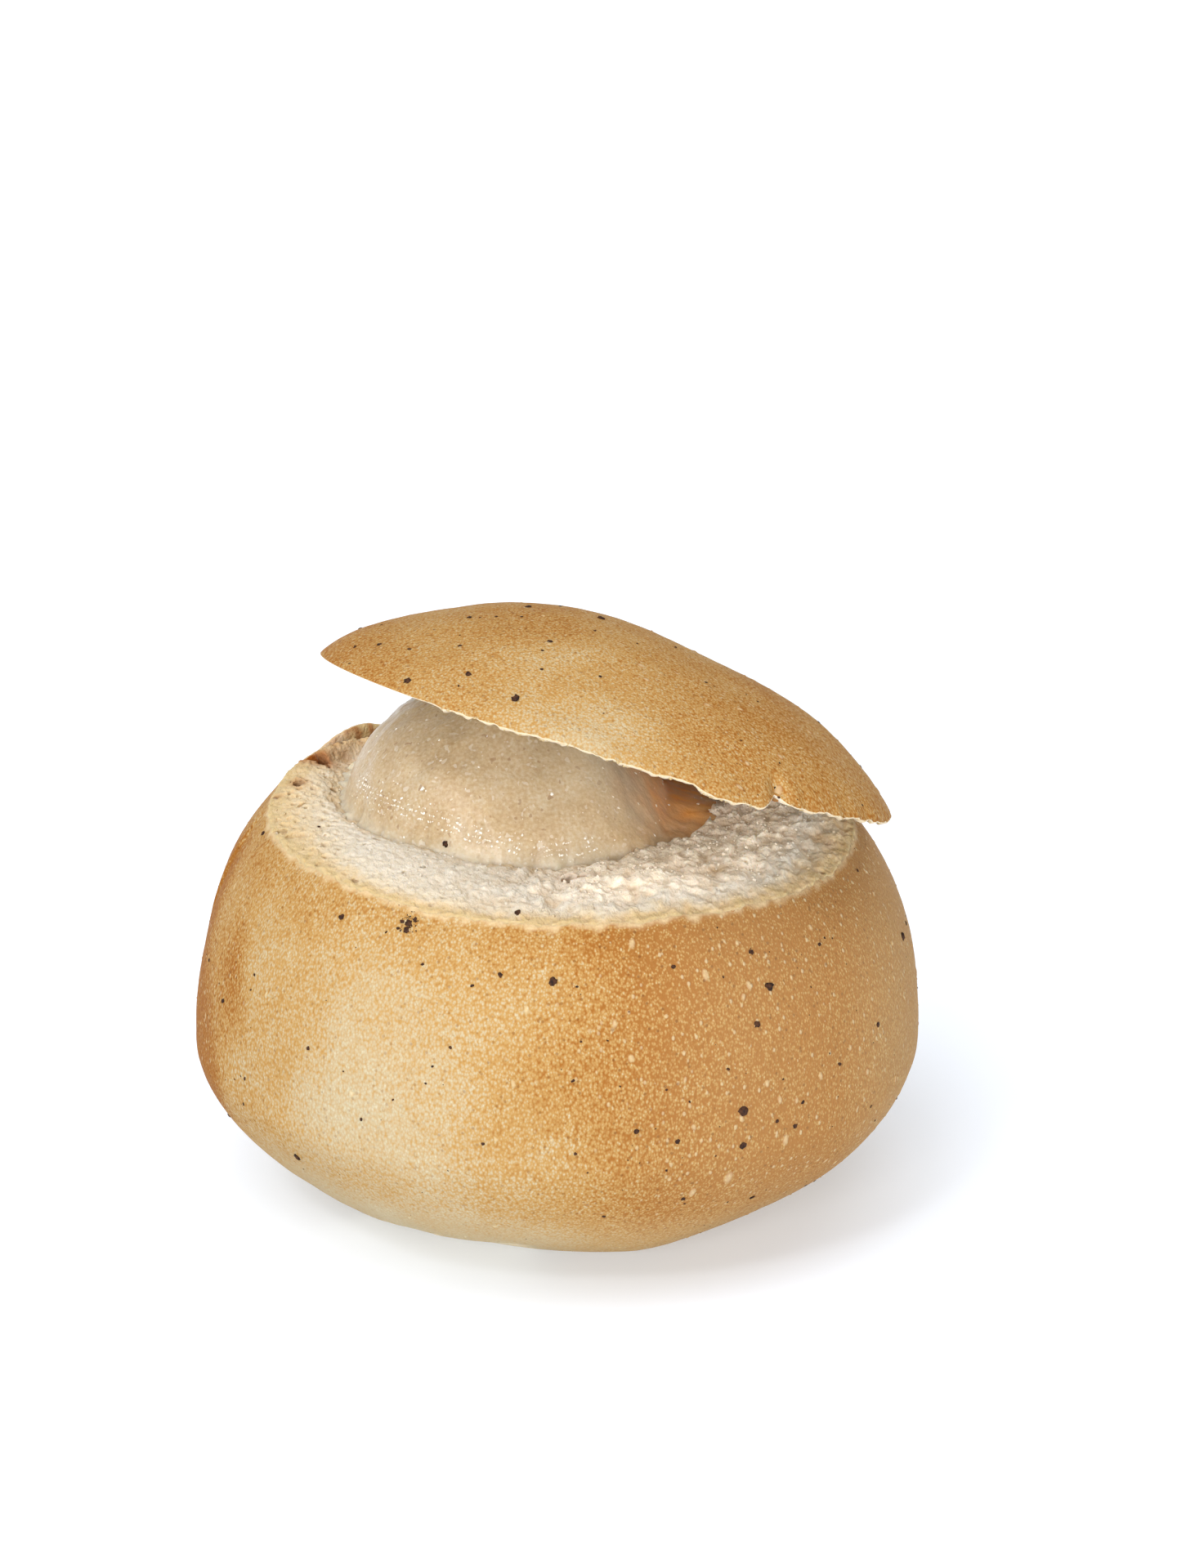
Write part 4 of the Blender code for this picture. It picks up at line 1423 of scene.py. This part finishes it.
def low_dome():
    """The points and faces of a low dome whose rim lies under the crust."""
    angle = circle(DOME_SEGMENTS)
    rings = [
        np.stack([r * np.cos(angle), r * np.sin(angle), 0 * angle + (1 - r * r) ** 0.8], -1)
        for r in (1.0, 0.85, 0.6, 0.3)
    ]
    points = np.concatenate([*rings, [[0, 0, 1]]]) - np.array([0, 0, 0.2])
    i = np.arange(DOME_SEGMENTS)
    j = (i + 1) % DOME_SEGMENTS
    faces = []
    for ring in range(len(rings) - 1):
        low, high = ring * DOME_SEGMENTS, (ring + 1) * DOME_SEGMENTS
        faces += [*np.stack([low + i, low + j, high + j], 1)]
        faces += [*np.stack([low + i, high + j, high + i], 1)]
    last = (len(rings) - 1) * DOME_SEGMENTS
    faces += [*np.stack([last + i, last + j, np.full(DOME_SEGMENTS, len(points) - 1)], 1)]
    return points, np.array(faces)


def scattered(name, form, spots, material, jitter, rng, upright=False, **attributes):
    """One mesh of many copies of a form. Each spot is (place, normal, half sizes): along,
    across and out of the surface. Upright ones run along the bun's meridian."""
    shape, faces = form
    all_points = []
    for place, normal, half in spots:
        along = np.array([0.0, 0.0, 1.0]) if upright else rng.normal(size=3)
        along = along + rng.normal(size=3) * ASKEW
        along -= normal * (along @ normal)
        along /= np.linalg.norm(along)
        basis = np.stack([along, np.cross(normal, along), normal])
        body = shape * (1 + jitter * rng.uniform(-1, 1, (len(shape), 1)))
        all_points.append(place + (body * np.array(half)) @ basis)
    points = np.concatenate(all_points)
    offsets = np.arange(len(spots)) * len(shape)
    all_faces = (faces[None] + offsets[:, None, None]).reshape(-1, 3).tolist()
    raised = np.tile(np.clip(shape[:, 2], 0, 1), len(spots))
    values = {title: made(points) for title, made in attributes.items()}
    return mesh_object(name, points, all_faces, [material], raised=raised, **values)


def build_flecks(scatter, colours):
    """Ground cardamom: the larger flecks lie where the photograph shows them, and dust of
    the same spice goes all round."""
    rng = np.random.default_rng(scatter.seed)
    trees = food_trees()
    spots = []
    for pixel, size in FLECKS.values():
        place, normal = seen_at(trees, pixel)
        spots.append((place, normal, size * 0.55 * np.array([1, rng.uniform(0.7, 1.0), 0.5])))
    for name, share in FLECK_SHARES.items():
        count = round(scatter.flecks * share)
        picks = crust_spots(name, count, rng, lambda centre: off_table(centre, *FLECKS_RIGHT))
        for place, normal in picks:
            size = mostly_small(FLECK_SIZES, rng, 4)
            spots.append((place, normal, size / 2 * np.array([1, rng.uniform(0.5, 0.9), 0.4])))
    for name, count in BACK_FLECKS.items():
        for place, normal in crust_spots(name, count, rng, lambda centre: centre[:, 1] > BACK_FROM):
            size = rng.uniform(*BACK_FLECK_SIZES)
            spots.append((place, normal, size / 2 * np.array([1, rng.uniform(0.7, 1.0), 0.5])))
    heart, normal = seen_at(trees, FLECKS["clump"][0])
    for _ in range(POWDER_COUNT):
        off = rng.normal(size=3) * POWDER_RADIUS
        off -= normal * (off @ normal)
        half = rng.uniform(*POWDER_SIZES) / 2
        spots.append((heart + off, normal, half * np.array([1, 0.8, 0.6])))
    made = scattered("cardamom_flecks", pebble(), spots, cardamom_material(colours), 0.3, rng)
    made.data.shade_flat()


def build_blisters(scatter):
    """Blisters of the crust that stayed pale, more of them at the right."""
    rng = np.random.default_rng(scatter.seed + 1)
    trees = food_trees()
    spots = []
    for pixel, size in BLISTERS.values():
        place, normal = seen_at(trees, pixel)
        spots.append((place, normal, (size / 2, size * 0.28, BLISTER_HEIGHT * 1.3)))
    for name, share in BLISTER_SHARES.items():
        count = round(scatter.blisters * share)
        picks = crust_spots(name, count, rng, lambda centre: off_table(centre, *BLISTERS_RIGHT))
        for place, normal in picks:
            size = mostly_small(BLISTER_SIZES, rng, 3)
            wide = size / 2 * rng.uniform(0.5, 0.9)
            spots.append((place, normal, (size / 2, wide, BLISTER_HEIGHT * rng.uniform(0.6, 1.1))))
    crust = bpy.data.materials["baked bun crust"]
    made = scattered(
        "crust_blisters", low_dome(), spots, crust, 0.06, rng, upright=True, bake=bake_of
    )


def glint_band(points, bun):
    """Where the painted glints lie on the paste: 1 in a band over its foot at the front left, where
    lamps would glint, little elsewhere."""
    x, y, z = points.T
    risen = z - cut_height(x, y, bun)
    height, higher, width = GLINT_BAND
    band = bell(risen, height + higher * smooth_step(*GLINT_BAND_LEFT, x), width)
    band *= smooth_step(*GLINT_BAND_FRONT[0], x) * smooth_step(*GLINT_BAND_FRONT[1], y)
    return (band + GLINTS_ELSEWHERE) * (risen > 0)


def build_glint_bits(bun, scatter, colours):
    """Painted glints, drawn as white bits of almond that stand out of the paste."""
    rng = np.random.default_rng(scatter.seed + 3)
    picks = crust_spots(
        "almond_paste", scatter.glint_pieces, rng, lambda centre: glint_band(centre, bun)
    )
    dab, normal = seen_at(food_trees(), WHITE_DAB)
    for _ in range(DAB_BITS):
        picks.append((dab + rng.normal(size=3) * DAB_RADIUS * (1, 0.6, 0.2), normal))
    spots = []
    for place, normal in picks:
        size = mostly_small(GLINT_BIT_SIZES, rng, 1.6)
        spots.append((place, normal, size / 2 * np.array([1, rng.uniform(0.4, 0.9), 0.4])))
    made = scattered("glint_bits", pebble(), spots, glint_bit_material(colours), 0.35, rng)


def lid_edge(points, lid):
    """1 for points close under the torn part of the lid's edge, 0 elsewhere."""
    local = np.array(lid_matrix(lid).inverted())
    x, y, _ = (points @ local[:3, :3].T + local[:3, 3]).T
    heading = np.degrees(np.arctan2(y, x)) % 360
    torn = (heading > EDGE_ROUND[0]) | (heading < EDGE_ROUND[1])
    return (np.hypot(x, y) > lid.radius - EDGE_WIDTH) & torn


def build_grains(bun, lid, scatter, colours):
    """Loose grains of crumb, on the torn crumb and along the lid's torn edge."""
    rng = np.random.default_rng(scatter.seed + 2)
    crumb = food_trees(["bun_crumb"])
    spots = []
    while len(spots) < scatter.grains:
        x, y = rng.uniform(-bun.rim_radius, bun.rim_radius, 2)
        hit = first_hit(crumb, Vector((x, y, bun.rim_height + 0.01)), Vector((0, 0, -1)))
        if not hit or rim_distance(x, y, bun) <= GRAIN_INSIDE:
            continue
        if rng.random() < 0.25 + 0.75 * torn_share(x):
            place, normal = hit
            size = rng.uniform(*GRAIN_SIZES) * rng.uniform(0.6, 1.0)
            half = size / 2 * np.array([1, rng.uniform(0.6, 1), rng.uniform(0.5, 0.9)])
            spots.append((place - normal * half[2] * GRAIN_SUNK, normal, half))
    under = crust_spots("lid_crust", EDGE_GRAINS, rng, lambda centre: lid_edge(centre, lid), kind=1)
    for place, normal in under:
        size = rng.uniform(*GRAIN_SIZES) * rng.uniform(0.6, 1.0)
        spots.append((place, normal, size / 2 * np.array([1, rng.uniform(0.6, 1), 0.7])))
    white = crumb_material(colours, "loose wheat crumb", 0.0)
    made = scattered(
        "crumb_grains", pebble(), spots, white, 0.45, rng,
        golden=lambda points: golden_of(points, bun), stain=stain_of,
    )


# ---------------------------------------------------------------- the stage


def camera_matrix():
    """The camera looks down at the origin, turned so that the origin lies at its pixel."""
    place = CAMERA_DISTANCE * Vector((0, -math.cos(CAMERA_ELEVATION), math.sin(CAMERA_ELEVATION)))
    level = Matrix.Rotation(math.pi / 2 - CAMERA_ELEVATION, 4, "X")
    right = math.atan((PHOTO_WIDTH / 2 - ORIGIN_PIXEL[0]) / FOCAL_PIXELS)
    up = math.atan((ORIGIN_PIXEL[1] - PHOTO_HEIGHT / 2) / FOCAL_PIXELS)
    aim = Matrix.Rotation(up, 4, "X") @ Matrix.Rotation(-right, 4, "Y")
    return Matrix.Translation(place) @ level @ aim


def far_light(name, heading, elevation, width, power):
    """A softbox so far off that it lights the whole table alike."""
    data = bpy.data.lights.new(name, "SUN")
    data.angle = math.radians(width)
    data.energy = power
    made = bpy.data.objects.new(name, data)
    tilt = math.radians(90 - elevation)
    made.rotation_euler = (tilt, 0, math.radians(heading + 90))
    bpy.context.scene.collection.objects.link(made)


def build_stage():
    """A white table, soft studio light from the left, front and right, and the camera."""
    scene = bpy.context.scene
    scene.view_settings.view_transform = "Standard"
    mesh = bpy.data.meshes.new("table")
    corners = [(x * TABLE_HALF, y * TABLE_HALF, 0) for x, y in ((-1, -1), (1, -1), (1, 1), (-1, 1))]
    mesh.from_pydata(corners, [], [(0, 1, 2, 3)])
    white = new_material(
        "backlit white acrylic", Base_Color=(*linear(TABLE_WHITE), 1), Roughness=0.7,
        Emission_Color=(*linear(WHITE), 1), Emission_Strength=TABLE_GLOW,
    )[0]
    mesh.materials.append(white)
    table = bpy.data.objects.new("table", mesh)
    scene.collection.objects.link(table)
    world = bpy.data.worlds.new("studio")
    world.use_nodes = True
    sky = world.node_tree.nodes["Background"].inputs
    sky["Color"].default_value = (*linear(WHITE), 1)
    sky["Strength"].default_value = ROOM_LIGHT
    scene.world = world
    for name, light in LIGHTS.items():
        far_light(name, *light)
    data = bpy.data.cameras.new("camera")
    data.sensor_fit = "VERTICAL"
    data.sensor_height = SENSOR_HEIGHT
    data.lens = CAMERA_LENS
    data.clip_start = 0.01
    camera = bpy.data.objects.new("camera", data)
    camera.matrix_world = camera_matrix()
    scene.collection.objects.link(camera)
    scene.camera = camera


# ---------------------------------------------------------------- settings


def length_setting(name, description, default):
    return FloatProperty(name=name, description=description, default=default, unit="LENGTH")


def angle_setting(name, description, degrees):
    return FloatProperty(
        name=name, description=description, default=math.radians(degrees), subtype="ANGLE"
    )


def colour_setting(name, description, code):
    return FloatVectorProperty(
        name=name, description=description, default=linear(code), subtype="COLOR", min=0, max=1
    )


class BunSettings(PropertyGroup):
    belly_radius: length_setting("Belly radius", "Half the bun's width", 0.045)
    belly_height: length_setting("Belly height", "Where the bun is widest", 0.020)
    rim_radius: length_setting("Rim radius", "Of the cut across the bun", 0.0361)
    rim_height: length_setting("Rim height", "Of the cut over the table", 0.0481)


class CrumbSettings(PropertyGroup):
    tear_height: length_setting("Tear height", "How high the torn lumps stand", 0.0009)


class FillingSettings(PropertyGroup):
    mound_height: length_setting("Mound height", "Of the paste over the cut", 0.015)


class LidSettings(PropertyGroup):
    radius: length_setting("Radius", "Of the lid's cut face", 0.0362)
    height: length_setting("Height", "Of the lid's dome", 0.0142)
    tilt: angle_setting("Tilt", "How steeply the lid leans", 22.4)
    towards: angle_setting("Towards", "The heading in which the lid slopes down", 43.6)


class ColourSettings(PropertyGroup):
    crust_raw: colour_setting("Raw crust", "Where the oven did not brown it", "DACEB2")
    crust_pale: colour_setting("Pale crust", "Lightly browned", "B3A689")
    crust_golden: colour_setting("Golden crust", "Browned", "AA8650")
    crust_brown: colour_setting("Brown crust", "Well browned", "905C27")
    # pale pin-head blisters, partly painted glints
    crust_pimple_glint: colour_setting("Crust pimples and glints", "Pin-head blisters", "CCBA95")
    # a painted sheen, greyish at the right and low down
    crust_dull: colour_setting("Painted crust sheen", "Greyish, at the right and low down", "AE956D")
    crust_burnt: colour_setting("Burnt pricks", "Pin-holes in the crust", "6A3E1C")
    blister: colour_setting("Blisters", "Skin that lifted and stayed pale", "CCB993")
    # whitest at the right, partly painted light against the lid's shade
    crumb_bright: colour_setting("Torn crumb", "Whitest, where it was torn", "F8EAD6")
    crumb_white: colour_setting("Crumb", "Inside of the bun", "D2CABC")
    crumb_cream: colour_setting("Cream crumb", "Nearer the crust", "CEC1AA")
    crumb_golden: colour_setting("Golden crumb", "Beside the crust", "C8B18B")
    crumb_edge: colour_setting("Cut crust", "The crust's own cut edge", "BAA378")
    crumb_moist: colour_setting("Moist crumb", "Where it drank from the paste", "C8B291")
    # painted shade down in the crumb's pores and creases
    crumb_pore_shade: colour_setting("Pore shade", "Down in the crumb", "C8AB86")
    # crust and syrup in a tear, and painted shade in the torn holes
    crumb_stain: colour_setting("Stain and shade", "Crust and syrup in a tear", "8C4F1C")
    paste: colour_setting("Paste", "Almond paste", "BAA381")
    paste_light: colour_setting("Light paste", "Drier streaks", "C8BAA0")
    paste_dark: colour_setting("Dark paste", "Moister streaks", "A98E67")
    paste_skin: colour_setting("Almond skin", "Brown specks", "855C33")
    paste_nut: colour_setting("Ground almond", "Cream specks", "D8CFBF")
    # painted glints on the paste, drawn as almond bits
    glint_white: colour_setting("Painted glint bits", "Wet and white", "F4EFE6")
    glint_cream: colour_setting("Cream glint bits", "Less blanched", "E2D6C0")
    # syrup brown, with painted shade and warm bounce light under the lid
    paste_soaked: colour_setting("Soaked and shaded paste", "Brown and wet, in the dip", "EEA256")
    cardamom: colour_setting("Cardamom", "Hull of the seed", "4A2C18")
    cardamom_dark: colour_setting("Dark cardamom", "Broken seed", "1E100A")


class ScatterSettings(PropertyGroup):
    seed: IntProperty(name="Seed", description="Of everything that is scattered", default=3)
    flecks: IntProperty(name="Flecks", description="Fine cardamom all round", default=420)
    blisters: IntProperty(name="Blisters", description="Of the crust, all round", default=620)
    # painted glints on the paste
    glint_pieces: IntProperty(name="Painted glint bits", description="In the paste", default=420)
    grains: IntProperty(name="Grains", description="Loose on the torn crumb", default=700)


SETTINGS = {
    "semla_bun": BunSettings,
    "semla_crumb": CrumbSettings,
    "semla_filling": FillingSettings,
    "semla_lid": LidSettings,
    "semla_colours": ColourSettings,
    "semla_scatter": ScatterSettings,
}


# ---------------------------------------------------------------- operators and panel


class MakeStage(Operator):
    """Make the table, the lights and the camera"""

    bl_idname = "semla.make_stage"
    bl_label = "Stage"

    def execute(self, context):
        build_stage()
        return {"FINISHED"}


class MakeBunCrust(Operator):
    """Make the baked outside of the bun"""

    bl_idname = "semla.make_bun_crust"
    bl_label = "Bun crust"

    def execute(self, context):
        scene = context.scene
        build_bun_crust(scene.semla_bun, scene.semla_colours)
        return {"FINISHED"}


class MakeCrumb(Operator):
    """Make the torn crumb round the filling"""

    bl_idname = "semla.make_crumb"
    bl_label = "Bun crumb"

    def execute(self, context):
        scene = context.scene
        build_crumb(scene.semla_bun, scene.semla_crumb, scene.semla_lid)
        return {"FINISHED"}


class MakePaste(Operator):
    """Make the almond paste"""

    bl_idname = "semla.make_paste"
    bl_label = "Almond paste"

    def execute(self, context):
        scene = context.scene
        build_paste(scene.semla_bun, scene.semla_filling, scene.semla_lid, scene.semla_colours)
        return {"FINISHED"}


class MakeLid(Operator):
    """Make the cut-off top of the bun"""

    bl_idname = "semla.make_lid"
    bl_label = "Lid"

    def execute(self, context):
        build_lid(context.scene.semla_lid)
        return {"FINISHED"}


class ScatterCardamom(Operator):
    """Scatter the ground cardamom over the finished bun"""

    bl_idname = "semla.scatter_cardamom"
    bl_label = "Cardamom"

    def execute(self, context):
        build_flecks(context.scene.semla_scatter, context.scene.semla_colours)
        return {"FINISHED"}


class ScatterBlisters(Operator):
    """Scatter the pale blisters over the baked crust"""

    bl_idname = "semla.scatter_blisters"
    bl_label = "Blisters"

    def execute(self, context):
        build_blisters(context.scene.semla_scatter)
        return {"FINISHED"}


class ScatterGlintPieces(Operator):
    """Scatter the painted glints, drawn as bits of almond, over the paste"""

    bl_idname = "semla.scatter_almonds"
    bl_label = "Painted glint bits"

    def execute(self, context):
        scene = context.scene
        build_glint_bits(scene.semla_bun, scene.semla_scatter, scene.semla_colours)
        return {"FINISHED"}


class ScatterGrains(Operator):
    """Scatter loose grains over the torn crumb"""

    bl_idname = "semla.scatter_grains"
    bl_label = "Crumb grains"

    def execute(self, context):
        scene = context.scene
        build_grains(scene.semla_bun, scene.semla_lid, scene.semla_scatter, scene.semla_colours)
        return {"FINISHED"}


OPERATORS = (
    MakeStage, MakeBunCrust, MakeCrumb, MakePaste, MakeLid, ScatterCardamom, ScatterBlisters,
    ScatterGlintPieces, ScatterGrains,
)


class SemlaPanel(Panel):
    """Lists the operators that make the bun"""

    bl_label = "Semla"
    bl_idname = "VIEW3D_PT_semla"
    bl_space_type = "VIEW_3D"
    bl_region_type = "UI"
    bl_category = "Semla"

    def draw(self, context):
        for operator in OPERATORS:
            self.layout.operator(operator.bl_idname)
        for name, group in SETTINGS.items():
            box = self.layout.box()
            for title in group.__annotations__:
                box.prop(getattr(context.scene, name), title)


def register():
    for made in (*SETTINGS.values(), *OPERATORS, SemlaPanel):
        bpy.utils.register_class(made)
    for name, group in SETTINGS.items():
        setattr(bpy.types.Scene, name, PointerProperty(type=group))


def unregister():
    for name in SETTINGS:
        delattr(bpy.types.Scene, name)
    for made in reversed((*SETTINGS.values(), *OPERATORS, SemlaPanel)):
        bpy.utils.unregister_class(made)


def main():
    register()
    bpy.ops.semla.make_stage()
    bpy.ops.semla.make_bun_crust()
    bpy.ops.semla.make_crumb()
    bpy.ops.semla.make_paste()
    bpy.ops.semla.make_lid()
    bpy.ops.semla.scatter_cardamom()
    bpy.ops.semla.scatter_blisters()
    bpy.ops.semla.scatter_almonds()
    bpy.ops.semla.scatter_grains()


if __name__ == "__main__":
    main()
